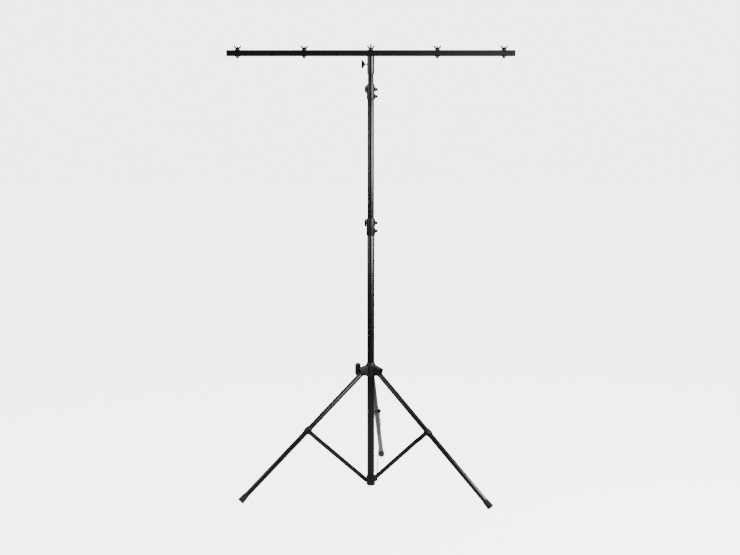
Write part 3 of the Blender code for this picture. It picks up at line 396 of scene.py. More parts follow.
def piece(node, body, material, shells):
    """One finished piece, which stands for the node of the same name and rides on its body."""
    points, faces, first = [], [], 0
    for shell in shells:
        points.append(shell["grid"].reshape(-1, 3))
        faces += faces_of(shell, first)
        first += len(points[-1])
    mesh = bpy.data.meshes.new("fine_" + node)
    mesh.from_pydata(np.concatenate(points), [], faces)
    bm = bmesh.new()
    bm.from_mesh(mesh)
    bmesh.ops.remove_doubles(bm, verts=bm.verts, dist=1e-6)
    bmesh.ops.recalc_face_normals(bm, faces=bm.faces)
    bm.to_mesh(mesh)
    bm.free()
    mesh.shade_smooth()
    mesh.set_sharp_from_angle(angle=SHARP_ANGLE)
    mesh.materials.append(material)
    made = bpy.data.objects.new("fine_" + node, mesh)
    bpy.context.scene.collection.objects.link(made)
    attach(made, body)
    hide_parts(node)
    return made


# ---------------------------------------------------------------- finishes


def linear(code):
    """An sRGB hex colour as linear values."""
    value = np.array([int(code[i : i + 2], 16) for i in (1, 3, 5)]) / 255
    value = np.where(value <= 0.04045, value / 12.92, ((value + 0.055) / 1.055) ** 2.4)
    return (*value.tolist(), 1.0)


def add(tree, kind, sockets=None, **settings):
    """Adds a node, sets its properties, and fills its sockets with values or with other nodes' outputs."""
    made = tree.nodes.new(kind)
    for name, value in settings.items():
        setattr(made, name, value)
    for name, value in (sockets or {}).items():
        if isinstance(value, bpy.types.NodeSocket):
            tree.links.new(value, made.inputs[name])
        else:
            made.inputs[name].default_value = value
    return made


def finish(name, dark, light, rough, rough_spread, grain_mm, grain_depth_mm, stretch=1.0, **uniform):
    """A finish with a fine grain, a slow drift of tone and gloss, and the grain's relief.

    dark and light are the ends of the drift, and grain_mm the width of one pip of the relief. stretch makes
    the drift longer along z, as rubbing along a tube leaves it. uniform holds the shader's even values, each
    under its socket's name with _ for a space.
    """
    material = bpy.data.materials.new(name)
    material.use_nodes = True
    tree = material.node_tree
    principled = tree.nodes["Principled BSDF"]
    for socket, value in uniform.items():
        principled.inputs[socket.replace("_", " ")].default_value = value
    place = add(tree, "ShaderNodeTexCoord").outputs["Object"]
    drawn = add(tree, "ShaderNodeMapping", {"Vector": place, "Scale": (1.0, 1.0, 1.0 / stretch)})
    drawn = drawn.outputs["Vector"]
    # The drift's patches are about 18 mm wide, 55 to a metre. A noise keeps mostly between 0.3 and 0.7, and
    # the sum of two between 0.6 and 1.4, so these are the ranges that the tone and the gloss are read from.
    drift = add(tree, "ShaderNodeTexNoise", {"Vector": drawn, "Scale": 55.0, "Detail": 4.0, "Roughness": 0.6})
    grain = add(tree, "ShaderNodeTexNoise", {"Vector": place, "Scale": 1000.0 / grain_mm, "Detail": 2.0})
    tone = add(tree, "ShaderNodeMapRange", {"Value": drift.outputs["Fac"], "From Min": 0.3, "From Max": 0.7})
    # The Mix node's colour sockets share their names with its number sockets, so they go by index.
    mixing = {0: tone.outputs["Result"], 6: linear(dark), 7: linear(light)}
    colour = add(tree, "ShaderNodeMix", mixing, data_type="RGBA")
    tree.links.new(colour.outputs[2], principled.inputs["Base Color"])
    mixed = add(
        tree,
        "ShaderNodeMath",
        {0: drift.outputs["Fac"], 1: grain.outputs["Fac"]},
        operation="ADD",
    )
    gloss = add(
        tree,
        "ShaderNodeMapRange",
        {
            "Value": mixed.outputs["Value"],
            "From Min": 0.6,
            "From Max": 1.4,
            "To Min": rough - rough_spread,
            "To Max": rough + rough_spread,
        },
    )
    tree.links.new(gloss.outputs["Result"], principled.inputs["Roughness"])
    relief = add(
        tree,
        "ShaderNodeBump",
        {"Height": grain.outputs["Fac"], "Distance": grain_depth_mm / 1000.0, "Strength": 1.0},
    )
    tree.links.new(relief.outputs["Normal"], principled.inputs["Normal"])
    return material


# Polyester powder coat, baked on drawn steel tube: satin, with a faint orange peel that softens highlights.
POWDER_COAT = finish("satin_powder_coat", "#101011", "#161617", 0.25, 0.03, 1.6, 0.004, stretch=12.0)
# Matt black paint on the bar, which shows no highlight in the photograph where the mast's tubes do.
MATT_PAINT = finish("matt_black_paint", "#0c0c0d", "#121213", 0.55, 0.05, 1.4, 0.008, Specular_IOR_Level=0.15)
# The mast's coat on zinc die castings: the casting's skin makes it a little rougher and duller.
CAST_COAT = finish("powder_coat_on_die_casting", "#151516", "#1c1c1d", 0.38, 0.05, 1.1, 0.02)
# Black zinc plating on steel fasteners: a dark metal with a soft, slightly uneven shine.
BLACK_ZINC = finish("black_zinc_plated_steel", "#2a2a2d", "#3a3a3e", 0.30, 0.07, 0.8, 0.006, Metallic=0.85)
# Glass-filled nylon, moulded against a spark-eroded tool: matt, with a fine even grain.
NYLON = finish("moulded_black_nylon", "#101011", "#171718", 0.46, 0.05, 0.7, 0.02)
# Moulded rubber: dull, with a bloom of grey that handling leaves.
RUBBER = finish("moulded_black_rubber", "#141414", "#20201f", 0.72, 0.08, 0.9, 0.03)


# ---------------------------------------------------------------- mast


def tube_wall(radius, wall, low, high, place=HERE, facets=96):
    """A tube: a wall's rounded section turned about z."""
    edge = wall * 0.35
    loop = eased(
        [
            (radius, high, edge),
            (radius, low, edge),
            (radius - wall, low, edge),
            (radius - wall, high, edge),
        ],
        2,
    )
    return turned(loop, place, ring=True, facets=facets)


def tube_plug(radius, wall, end):
    """A cup-shaped plug with a flange that covers the tube's end."""
    spigot = radius - wall - SEAT
    bore = spigot - PLUG_WALL
    seat = end + PLUG_FLANGE
    profile = [
        (0.0, seat, 0),
        (bore, seat, 0.0008),
        (bore, seat + PLUG_DEPTH, 0.0004),
        (spigot, seat + PLUG_DEPTH, 0.0004),
        (spigot, seat, 0),
        (radius, seat, 0.0003),
        (radius, end, 0.0009),
        (0.0, end, 0),
    ]
    return turned(eased(profile, 3, ring=False), facets=72)


def collar_wall(inner, outer, bottom, top, start, end, edge=0.0012):
    """A wall's rounded section in (radius, height), carried round z from one angle to another."""
    loop = eased(
        [
            (outer, bottom, edge),
            (outer, top, edge * 1.8),
            (inner, top, 0.0004),
            (inner, bottom, 0.0004),
        ],
        4,
    )
    a = np.linspace(start, end, max(8, int(abs(end - start) / radians(4))))[:, None]
    r, h = loop[None, :, 0], loop[None, :, 1]
    return carried(np.stack([r * np.cos(a), r * np.sin(a), h + 0 * a], -1))


def ear(back, height, root, low, high):
    """Half of a bolt boss: a D-shaped outline, round about the bolt, carried along the bolt's axis."""
    reach = back - root
    a = np.linspace(-pi / 2, pi / 2, 25)
    nose = np.stack([EAR_RADIUS * np.cos(a), EAR_RADIUS * np.sin(a)], -1)
    outline = np.concatenate([nose, [(-reach, EAR_RADIUS), (-reach, -EAR_RADIUS)]])
    # The outline's x runs backwards from the mast, its y upwards, and it is carried from left to right.
    place = shift(0.0, back, height) @ Matrix.Rotation(pi / 2, 4, "Z") @ ACROSS
    return slab(outline, low, high, place, edge=0.0016, steps=5)


def clamp(name, body, knob_body, tube_radius, inner_radius, end, above, below, knob_rise, fixing_drop):
    """The split collar, its insert, both bolts with their cap nuts, and the knob."""
    outside = tube_radius + SEAT + COLLAR_WALL
    bore = tube_radius + SEAT
    bottom, top = end - below, end + above
    knob_height, fixing_height = end + knob_rise, end - fixing_drop
    back = outside + CLAMP_BOLT_REACH
    half = EAR_SPLIT / 2
    gap = asin(half / bore)
    slit_low = end + SEAT
    slit_high = slit_low + BAND_SLIT
    fork = asin(-tube_radius / 2 / bore)
    shells = [
        collar_wall(bore, outside, bottom, top, pi / 2 + gap, 2 * pi + fork),
        collar_wall(bore, outside, slit_high, top, fork, pi / 2 - gap, 0.0008),
        collar_wall(bore, outside, bottom, slit_low, fork, pi / 2 - gap, 0.0008),
    ]
    for height, left in ((knob_height, outside), (fixing_height, FIXING_EAR_LEFT)):
        shells.append(ear(back, height, bore, -left, -half))
        shells.append(ear(back, height, bore, half, EAR_RIGHT))
    piece(name + "_collar", body, CAST_COAT, shells)

    lip = top + SEAT
    insert = eased(
        [
            (tube_radius, lip + INSERT_LIP, 0.0008),
            (outside - 0.0025, lip, 0.0002),
            (tube_radius, lip, 0.0001),
            (tube_radius, end + SEAT, 0.0003),
            (inner_radius + SEAT, end + SEAT, 0.0003),
            (inner_radius + SEAT, lip + INSERT_LIP, 0.0006),
        ],
        3,
    )
    piece(name + "_insert", body, NYLON, [turned(insert, ring=True)])

    nut_seat = EAR_RIGHT + SEAT
    dome = CAP_NUT_HEX * 0.8
    crown = nut_seat + CAP_NUT_HEX_LENGTH
    a = np.linspace(0, pi / 2, 9)
    cap = np.stack([dome * np.sin(a), crown + CAP_NUT_DOME * np.cos(a)], -1)
    cap = np.concatenate([cap, [(dome, crown - 0.0015), (0.0, crown - 0.0015)]])
    knob_seat = -outside - SEAT
    head_seat = -FIXING_EAR_LEFT - SEAT
    knob_bolt_end = knob_seat - KNOB_THICKNESS * 0.7
    for use, height, start in (("knob", knob_height, knob_bolt_end), ("fixing", fixing_height, head_seat)):
        place = shift(0.0, back, height) @ OUTWARDS
        shells = [
            turned(shank(CLAMP_BOLT_RADIUS, crown - JOIN, start), place, facets=32),
            hex_head(CAP_NUT_HEX, nut_seat, crown, place),
            turned(cap, place, facets=48),
        ]
        if use == "fixing":
            button = eased(
                [
                    (0, head_seat, 0),
                    (BUTTON_RADIUS, head_seat, 0.0003),
                    (BUTTON_RADIUS, head_seat - BUTTON_LENGTH, 0.0022),
                    (0, head_seat - BUTTON_LENGTH, 0),
                ],
                5,
                ring=False,
            )
            shells.append(turned(button, place, facets=48))
        piece(f"{name}_{use}_bolt", body, BLACK_ZINC, shells)

    place = shift(knob_seat, back, knob_height) @ LEFTWARDS
    piece(name + "_knob", knob_body, NYLON, [knob_grip(place)])


def knob_grip(place):
    """A lobed flange under a dome: r = R + L cos(lobes a) at height h.

    The mean radius R, the lobes' share of KNOB_LOBE, which gives L, and h are read along the section.
    """
    mean = KNOB_RADIUS - KNOB_LOBE
    turn = np.linspace(0, pi / 2, 6)
    edge = 0.0010
    inner = mean - edge
    low = np.stack([inner + edge * np.sin(turn), 0 * turn + 1, edge - edge * np.cos(turn)], -1)
    # The lobes fade from 1 to 0.75 round the flange's upper edge, and from 0.6 to nothing over the dome.
    fade = 1 - 0.25 * turn / turn[-1]
    high = np.stack([inner + edge * np.cos(turn), fade, KNOB_FLANGE - edge + edge * np.sin(turn)], -1)
    turn = np.linspace(0, pi / 2, 16)
    wide = KNOB_TIP_RADIUS + (KNOB_DOME_RADIUS - KNOB_TIP_RADIUS) * np.cos(turn)
    tall = KNOB_FLANGE + (KNOB_THICKNESS - KNOB_FLANGE) * np.sin(turn)
    dome = np.stack([wide, 0.6 * np.cos(turn) ** 2, tall], -1)
    cap = [(KNOB_TIP_RADIUS * 0.6, 0, KNOB_THICKNESS), (0, 0, KNOB_THICKNESS)]
    section = np.concatenate([[(0, 0, 0), (mean - 2 * edge, 1, 0)], low, high, dome, cap])
    a = np.linspace(0, 2 * pi, 180, endpoint=False)
    r = section[:, :1] + section[:, 1:2] * KNOB_LOBE * np.cos(KNOB_LOBES * a)
    return carried(np.stack([r * np.cos(a), r * np.sin(a), section[:, 2:] + 0 * a], -1), place)


def mast():
    """The three tubes with the plugs in their lower ends, and the two clamps."""
    middle_end = MIDDLE_TUBE_TOP - MIDDLE_TUBE_LENGTH
    top_end = TOP_TUBE_TOP - TOP_TUBE_LENGTH
    for node, body, radius, bottom, top in (
        ("lower_mast_tube", "mast_base", LOWER_TUBE_RADIUS, 0.0, LOWER_TUBE_TOP),
        ("middle_mast_tube", "middle_mast", MIDDLE_TUBE_RADIUS, middle_end, MIDDLE_TUBE_TOP),
        ("top_mast_tube", "top_mast", TOP_TUBE_RADIUS, top_end, TOP_TUBE_TOP),
    ):
        wall = tube_wall(radius, TUBE_WALL, bottom + PLUG_FLANGE + SEAT, top)
        piece(node, body, POWDER_COAT, [wall])
    for node, body, radius, bottom in (
        ("mast_base_plug", "mast_base", LOWER_TUBE_RADIUS, 0.0),
        ("middle_tube_plug", "middle_mast", MIDDLE_TUBE_RADIUS, middle_end),
        ("top_tube_plug", "top_mast", TOP_TUBE_RADIUS, top_end),
    ):
        piece(node, body, NYLON, [tube_plug(radius, TUBE_WALL, bottom)])
    clamp(
        "lower_clamp",
        "mast_base",
        "lower_clamp_knob",
        LOWER_TUBE_RADIUS,
        MIDDLE_TUBE_RADIUS,
        LOWER_TUBE_TOP,
        LOWER_COLLAR_ABOVE,
        LOWER_COLLAR_BELOW,
        LOWER_KNOB_RISE,
        LOWER_FIXING_DROP,
    )
    clamp(
        "upper_clamp",
        "middle_mast",
        "upper_clamp_knob",
        MIDDLE_TUBE_RADIUS,
        TOP_TUBE_RADIUS,
        MIDDLE_TUBE_TOP,
        UPPER_COLLAR_ABOVE,
        UPPER_COLLAR_BELOW,
        UPPER_KNOB_RISE,
        UPPER_FIXING_DROP,
    )


# ---------------------------------------------------------------- tripod


def pivot_bolt(length, place, nut=False):
    """A hexagon bolt whose head's seat lies at z = 0, with a lock nut at its far end if it has one."""
    far = length + (PIVOT_HEAD_LENGTH if nut else 0.0)
    down = place @ TURNED_OVER
    shells = [
        turned(shank(PIVOT_BOLT_RADIUS, far, 0), place, facets=32),
        hex_head(PIVOT_HEAD_RADIUS, 0.0, PIVOT_HEAD_LENGTH, down),
    ]
    if nut:
        shells.append(hex_head(PIVOT_HEAD_RADIUS, length, far, place))
    return shells


def foot_collar(planes):
    """The collar at the mast's foot: a turned sleeve and three round lugs, each beside its leg's plane."""
    sleeve = eased(
        [
            (BASE_COLLAR_RADIUS, BASE_COLLAR_TOP, 0.0025),
            (BASE_COLLAR_RADIUS, BASE_COLLAR_BOTTOM, 0.0008),
            (LOWER_TUBE_RADIUS + SEAT, BASE_COLLAR_BOTTOM, 0.0003),
            (LOWER_TUBE_RADIUS + SEAT, BASE_COLLAR_TOP, 0.0003),
        ],
        4,
    )
    shells = [turned(sleeve, ring=True)]
    # A lug is a round bar along its bolt. At distance out from the mast's axis it starts in the middle of the
    # sleeve's wall, at sqrt(mid^2 - out^2), or at LUG_ROOT. Its last two rings draw in at its face.
    for plane in planes:
        place = plane @ shift(BASE_PIVOT_RADIUS, 0.0, BASE_PIVOT_HEIGHT) @ ACROSS
        a = np.linspace(0, 2 * pi, 72, endpoint=False)[None]
        x, up = LUG_RADIUS * np.cos(a), LUG_RADIUS * np.sin(a)
        mid = (LOWER_TUBE_RADIUS + BASE_COLLAR_RADIUS) / 2
        out = BASE_PIVOT_RADIUS + x
        root = np.sqrt(np.clip(mid**2 - out**2, 0.0, None))
        root = np.maximum(root, LUG_ROOT)
        share = np.array([0.0, 0.5, 0.94, 0.98, 1.0])[:, None]
        draw = np.array([1.0, 1.0, 1.0, 0.98, 0.93])[:, None]
        along = root + (LUG_FACE - root) * share
        shells.append(carried(np.stack([x * draw, up * draw, along], -1), place))
    piece("mast_base_collar", "mast_base", CAST_COAT, shells)
    head_seat = LUG_FACE + 2 * SEAT + BRACE_THICKNESS
    for number, plane in enumerate(planes, 1):
        place = plane @ shift(BASE_PIVOT_RADIUS, -head_seat, BASE_PIVOT_HEIGHT) @ ACROSS.inverted()
        bolt = pivot_bolt(BASE_BOLT_LENGTH, place)
        piece(f"base_pivot_bolt_{number}", "mast_base", BLACK_ZINC, bolt)


def bracket(place):
    """An open channel: an inverted U whose top slopes down and whose lower edge rises towards the nose.

    Each point of the U is a share of the way from the lower edge to the top, plus its own offset.
    """
    wide, clear = BRACKET_OUTSIDE, BRACKET_INSIDE
    r = np.concatenate([[BRACKET_ROOT], np.linspace(BRACKET_SHOULDER, BRACKET_REACH, 28)])
    slope = BRACKET_FALL / (BRACKET_REACH - BRACKET_SHOULDER)
    top = BRACKET_RISE - slope * np.clip(r - BRACKET_SHOULDER, 0.0, None)
    rise = BRACKET_RISE - BRACKET_FALL - BRACKET_NOSE + BRACKET_DROP
    low = -BRACKET_DROP + rise * np.clip(r - BRACKET_HEEL, 0.0, None) / (BRACKET_REACH - BRACKET_HEEL)
    nose = np.clip((r - (BRACKET_REACH - BRACKET_NOSE_ROUND)) / BRACKET_NOSE_ROUND, 0.0, 1.0)
    top = top - BRACKET_NOSE_DIP * nose**2
    a = np.linspace(0, pi / 2, 7)
    round_out, round_in = BRACKET_ROUND_OUTSIDE, BRACKET_ROUND_INSIDE
    outer = np.stack([wide - round_out + round_out * np.cos(a), -round_out + round_out * np.sin(a)], -1)
    deep = -BRACKET_WALL - round_in
    inner = np.stack([clear - round_in + round_in * np.cos(a), deep + round_in * np.sin(a)], -1)[::-1]
    foot_out = np.array([(wide - 0.0007, 0.0), (wide, 0.0008)])
    foot_in = np.array([(clear, 0.0008), (clear + 0.0007, 0.0)])
    # The right half runs up outside and the left half mirrors it, so the loop is up, over, down and back.
    up, down = np.concatenate([foot_out, outer]), np.concatenate([inner, foot_in])
    mirror = np.array((-1, 1))
    loop = np.concatenate([up, up[::-1] * mirror, down[::-1] * mirror, down])
    t, offset = loop[:, 0], loop[:, 1]
    rising, falling = np.repeat([0, 1], (2, 7)), np.repeat([1, 0], (7, 2))
    share = np.concatenate([rising, falling, rising, falling])
    z = share * top[:, None] + (1 - share) * low[:, None] + offset
    grid = np.stack([r[:, None] + 0 * t, -t + 0 * r[:, None], z], -1)
    return carried(grid, place)


def hub(planes):
    """The sliding casting, its bush, the bolts of the three leg heads, and the T-knob."""
    at_hub = shift(z=HUB_PIVOT_HEIGHT)
    # The neck's flare: the radius grows with the square of the share of the way down.
    t = np.linspace(0.08, 0.94, 9)
    spread = HUB_NECK_RADIUS + (HUB_RADIUS - HUB_NECK_RADIUS) * t**2
    flare = np.stack([spread, HUB_RISE - HUB_NECK_FALL * t, 0 * t], -1)
    sleeve = eased(
        [(HUB_NECK_RADIUS, HUB_RISE, 0.0004)]
        + flare.tolist()
        + [
            (HUB_RADIUS, HUB_RISE - HUB_NECK_FALL, 0.0012),
            (HUB_RADIUS, -HUB_DROP, 0.0010),
            (HUB_BORE, -HUB_DROP, 0.0003),
            (HUB_BORE, HUB_RISE, 0.0003),
        ],
        4,
    )
    between = planes[0] @ Matrix.Rotation(pi / 3, 4, "Z") @ shift(z=HUB_PIVOT_HEIGHT + HUB_BOSS_RISE)
    boss = eased(
        [
            (0, HUB_BOSS_REACH, 0),
            (HUB_BOSS_RADIUS, HUB_BOSS_REACH, 0.0008),
            (HUB_BOSS_RADIUS + HUB_BOSS_FLARE, HUB_BORE + JOIN, 0),
            (0, HUB_BORE + JOIN, 0),
        ],
        4,
        ring=False,
    )
    shells = [turned(sleeve, at_hub, ring=True), turned(boss, between @ OUTWARDS)]
    shells += [bracket(plane @ at_hub) for plane in planes]
    piece("hub_casting", "hub", CAST_COAT, shells)

    outer = HUB_BORE - SEAT
    lip = HUB_RISE + SEAT
    slim = HUB_BUSH_BORE + HUB_LIP_WALL
    bush = eased(
        [
            (slim, lip + HUB_BUSH_LIP, 0.0004),
            (slim + 0.0003, lip + 0.66 * HUB_BUSH_LIP, 0),
            (slim + 0.0009, lip + 0.33 * HUB_BUSH_LIP, 0),
            (HUB_NECK_RADIUS - 0.0005, lip + 0.0004, 0.0003),
            (HUB_NECK_RADIUS - 0.0003, lip, 0.0002),
            (outer, lip, 0.0001),
            (outer, -HUB_DROP, 0.0003),
            (HUB_BUSH_BORE, -HUB_DROP, 0.0003),
            (HUB_BUSH_BORE, lip + HUB_BUSH_LIP, 0.0005),
        ],
        4,
    )
    piece("hub_bush", "hub", NYLON, [turned(bush, at_hub, ring=True)])
    head_seat = BRACKET_OUTSIDE + SEAT
    for number, plane in enumerate(planes, 1):
        place = plane @ at_hub @ shift(HUB_PIVOT_RADIUS, -head_seat) @ ACROSS.inverted()
        bolt = pivot_bolt(2 * head_seat, place, nut=True)
        piece(f"hub_pivot_bolt_{number}", "hub", BLACK_ZINC, bolt)

    head = HUB_KNOB_REACH - HUB_KNOB_THICKNESS
    foot = HUB_BOSS_REACH + SEAT
    place = between @ OUTWARDS
    grip = slab(stadium(HUB_KNOB_HEIGHT, HUB_KNOB_WIDTH), head, HUB_KNOB_REACH, place, edge=0.0045, steps=8)
    stem = eased(
        [
            (0, head + 0.004, 0),
            (HUB_KNOB_STEM_RADIUS * 1.3, head + 0.004, 0),
            (HUB_KNOB_STEM_RADIUS, (head + foot) / 2, 0.01),
            (HUB_KNOB_STEM_RADIUS, foot, 0.0008),
            (0, foot, 0),
        ],
        5,
        ring=False,
    )
    stud = shank(CLAMP_BOLT_RADIUS, foot + 2 * JOIN, LOWER_TUBE_RADIUS + SEAT)
    shells = [grip, turned(stem, place), turned(stud, place, facets=32)]
    piece("hub_knob", "hub_knob", NYLON, shells)


def leg(number, plane):
    """A leg's tube, the plug in its head, its rubber foot, and the clip that carries its brace."""
    lean = Matrix.Rotation(-LEG_SPREAD, 4, "Y")
    top = plane @ shift(HUB_PIVOT_RADIUS, 0.0, HUB_PIVOT_HEIGHT) @ lean
    clip_place = top @ shift(z=-LEG_TOP_LENGTH)
    body = f"leg_{number}"
    end = -(LEG_LENGTH - FOOT_SOLE - SEAT)
    wall = tube_wall(LEG_RADIUS, TUBE_WALL, end, LEG_HEAD, top, facets=72)
    piece(f"leg_tube_{number}", body, POWDER_COAT, [wall])

    bore = LEG_RADIUS - TUBE_WALL - SEAT
    seat = LEG_HEAD + SEAT
    plug = eased(
        [
            (0, seat + LEG_PLUG_FLANGE, 0),
            (LEG_RADIUS, seat + LEG_PLUG_FLANGE, 0.0009),
            (LEG_RADIUS, seat, 0.0002),
            (bore, seat, 0),
            (bore, PIVOT_BOLT_RADIUS + 2 * SEAT, 0.0005),
            (0, PIVOT_BOLT_RADIUS + 2 * SEAT, 0),
        ],
        4,
        ring=False,
    )
    piece(f"leg_top_plug_{number}", body, NYLON, [turned(plug, top)])

    sole = -LEG_LENGTH
    rim = sole + FOOT_LENGTH
    inside = LEG_RADIUS + SEAT
    # A flared boot with a rolled rim and a rounded sole. At share t of the way down, its radius is
    # top + (sole - top) t^1.3, less four shallow grip grooves, each the cube of a cosine's crest.
    t = np.linspace(0, 1, 61)
    radius = FOOT_TOP_RADIUS + (FOOT_SOLE_RADIUS - FOOT_TOP_RADIUS) * t**1.3
    groove = 0.0005 * np.clip(np.cos(2 * pi * (t * 4.0 - 0.5)), 0, 1) ** 3 * (t > 0.12) * (t < 0.88)
    side = np.stack([radius - groove, rim - (FOOT_LENGTH - 0.0016) * t], -1)
    lip = [
        (inside, sole + FOOT_SOLE),
        (inside, rim - 0.0004),
        (inside + 0.0005, rim),
        (FOOT_TOP_RADIUS - 0.0006, rim),
    ]
    under = [(FOOT_SOLE_RADIUS - 0.0004, sole + 0.0006), (FOOT_SOLE_RADIUS - 0.0014, sole), (0, sole)]
    boot = np.concatenate([[(0, sole + FOOT_SOLE)], lip, side[1:], under])
    piece(f"leg_foot_{number}", body, RUBBER, [turned(boot, top)])

    half = CLIP_LENGTH / 2
    ring = eased(
        [
            (CLIP_RADIUS, half, 0.0012),
            (CLIP_RADIUS, -half, 0.0012),
            (inside, -half, 0.0003),
            (inside, half, 0.0003),
        ],
        4,
    )
    shells = [turned(ring, clip_place, ring=True)]
    pad_root = CLIP_RADIUS - 0.003
    pad = eased(
        [
            (0, CLIP_FACE, 0),
            (CLIP_PAD_RADIUS, CLIP_FACE, 0.0006),
            (CLIP_PAD_RADIUS + 0.0008, pad_root, 0),
            (0, pad_root, 0),
        ],
        4,
        ring=False,
    )
    shells += [turned(pad, clip_place @ side_turn) for side_turn in (ACROSS, ACROSS.inverted())]
    piece(f"leg_clip_{number}", body, NYLON, shells)
    head_seat = BRACE_CLIP_OFFSET + BRACE_THICKNESS / 2 + SEAT
    place = clip_place @ shift(0.0, -head_seat) @ ACROSS.inverted()
    bolt = pivot_bolt(head_seat + CLIP_FACE + SEAT, place, nut=True)
    piece(f"leg_clip_bolt_{number}", body, BLACK_ZINC, bolt)


def brace(number, plane):
    """A flat bar: a rounded rectangle carried along a line, eased sideways by a half cosine at the joggle.

    At both ends the half width follows a circle: w = sqrt(half^2 - over^2), with over the way past the pivot.
    """
    half, thick, edge = BRACE_WIDTH / 2, BRACE_THICKNESS / 2, 0.0005
    turn = np.linspace(0, pi / 2, 15)
    bend_end = BRACE_LENGTH - JOGGLE_START
    bend_start = bend_end - JOGGLE_LENGTH
    s = np.concatenate([
        -half * np.cos(turn),
        np.linspace(0.01, bend_start - 0.005, 12),
        np.linspace(bend_start, bend_end, 21),
        np.linspace(bend_end + 0.004, BRACE_LENGTH - 0.002, 4),
        BRACE_LENGTH + half * np.sin(turn),
    ])
    over = np.maximum(np.maximum(-s, s - BRACE_LENGTH), 0.0)
    width = np.sqrt(np.clip(half**2 - over**2, 0.0, None))
    a = np.linspace(0, pi / 2, 4)
    corner = np.stack([np.cos(a), np.sin(a)], -1)
    signs = np.repeat([(1, 1), (-1, 1), (-1, -1), (1, -1)], 4, 0)
    arcs = np.concatenate([corner, corner[::-1], corner, corner[::-1]]) * signs
    rim = np.minimum(edge, width)[:, None]
    y = signs[:, 0] * (width[:, None] - rim) + arcs[:, 0] * rim
    z = signs[:, 1] * (thick - edge) + arcs[:, 1] * edge + 0 * width[:, None]
    share = np.clip((s - bend_start) / JOGGLE_LENGTH, 0.0, 1.0)[:, None]
    z = z + BRACE_BASE_OFFSET + (BRACE_CLIP_OFFSET - BRACE_BASE_OFFSET) * (1 - np.cos(pi * share)) / 2
    along = Matrix.Rotation(pi / 2 - BRACE_ANGLE, 4, "Z")
    place = plane @ shift(BASE_PIVOT_RADIUS, 0.0, BASE_PIVOT_HEIGHT) @ ACROSS @ along
    bar = carried(np.stack([s[:, None] + 0 * y, y, z], -1), place)
    piece(f"brace_{number}", f"brace_{number}", POWDER_COAT, [bar])


# ---------------------------------------------------------------- T-bar


def square(side, corner, steps=5):
    """A square's outline with round corners."""
    h = side / 2
    return eased([(h, h, corner), (-h, h, corner), (-h, -h, corner), (h, -h, corner)], steps)


def wing(place):
    """A wing: a flattened ellipse carried up and out along a line, drawn in to a round tip.

    At share t of the way, the centre is root + t (tip - root), and both half axes fall off as sqrt(1 - t^8).
    """
    root, tip = np.array(WING_ROOT), np.array((WING_SPAN, WING_HEIGHT)) - WING_TIP_INSET
    run = (tip - root) / np.linalg.norm(tip - root)
    side = np.array((-run[1], run[0]))
    t = np.concatenate([np.linspace(0, 0.8, 12), 1 - 0.2 * (1 - np.linspace(0, 1, 12)[1:]) ** 2])[:, None]
    t = np.clip(t, 0, 1)
    round_off = np.sqrt(np.clip(1 - t**8, 0, None))
    wide = (WING_HALF_WIDTH - WING_NARROWING * t) * round_off
    thick = (WING_HALF_THICKNESS - WING_THINNING * t) * round_off
    a = np.linspace(0, 2 * pi, 32, endpoint=False)[None]
    across = np.sign(np.cos(a)) * np.abs(np.cos(a)) ** 0.8 * wide
    y = np.sign(np.sin(a)) * np.abs(np.sin(a)) ** 0.8 * thick
    centre = root + t * (tip - root)
    x = centre[:, :1] + across * side[0]
    z = centre[:, 1:] + across * side[1]
    return carried(np.stack([x, y + 0 * x, z], -1), place)


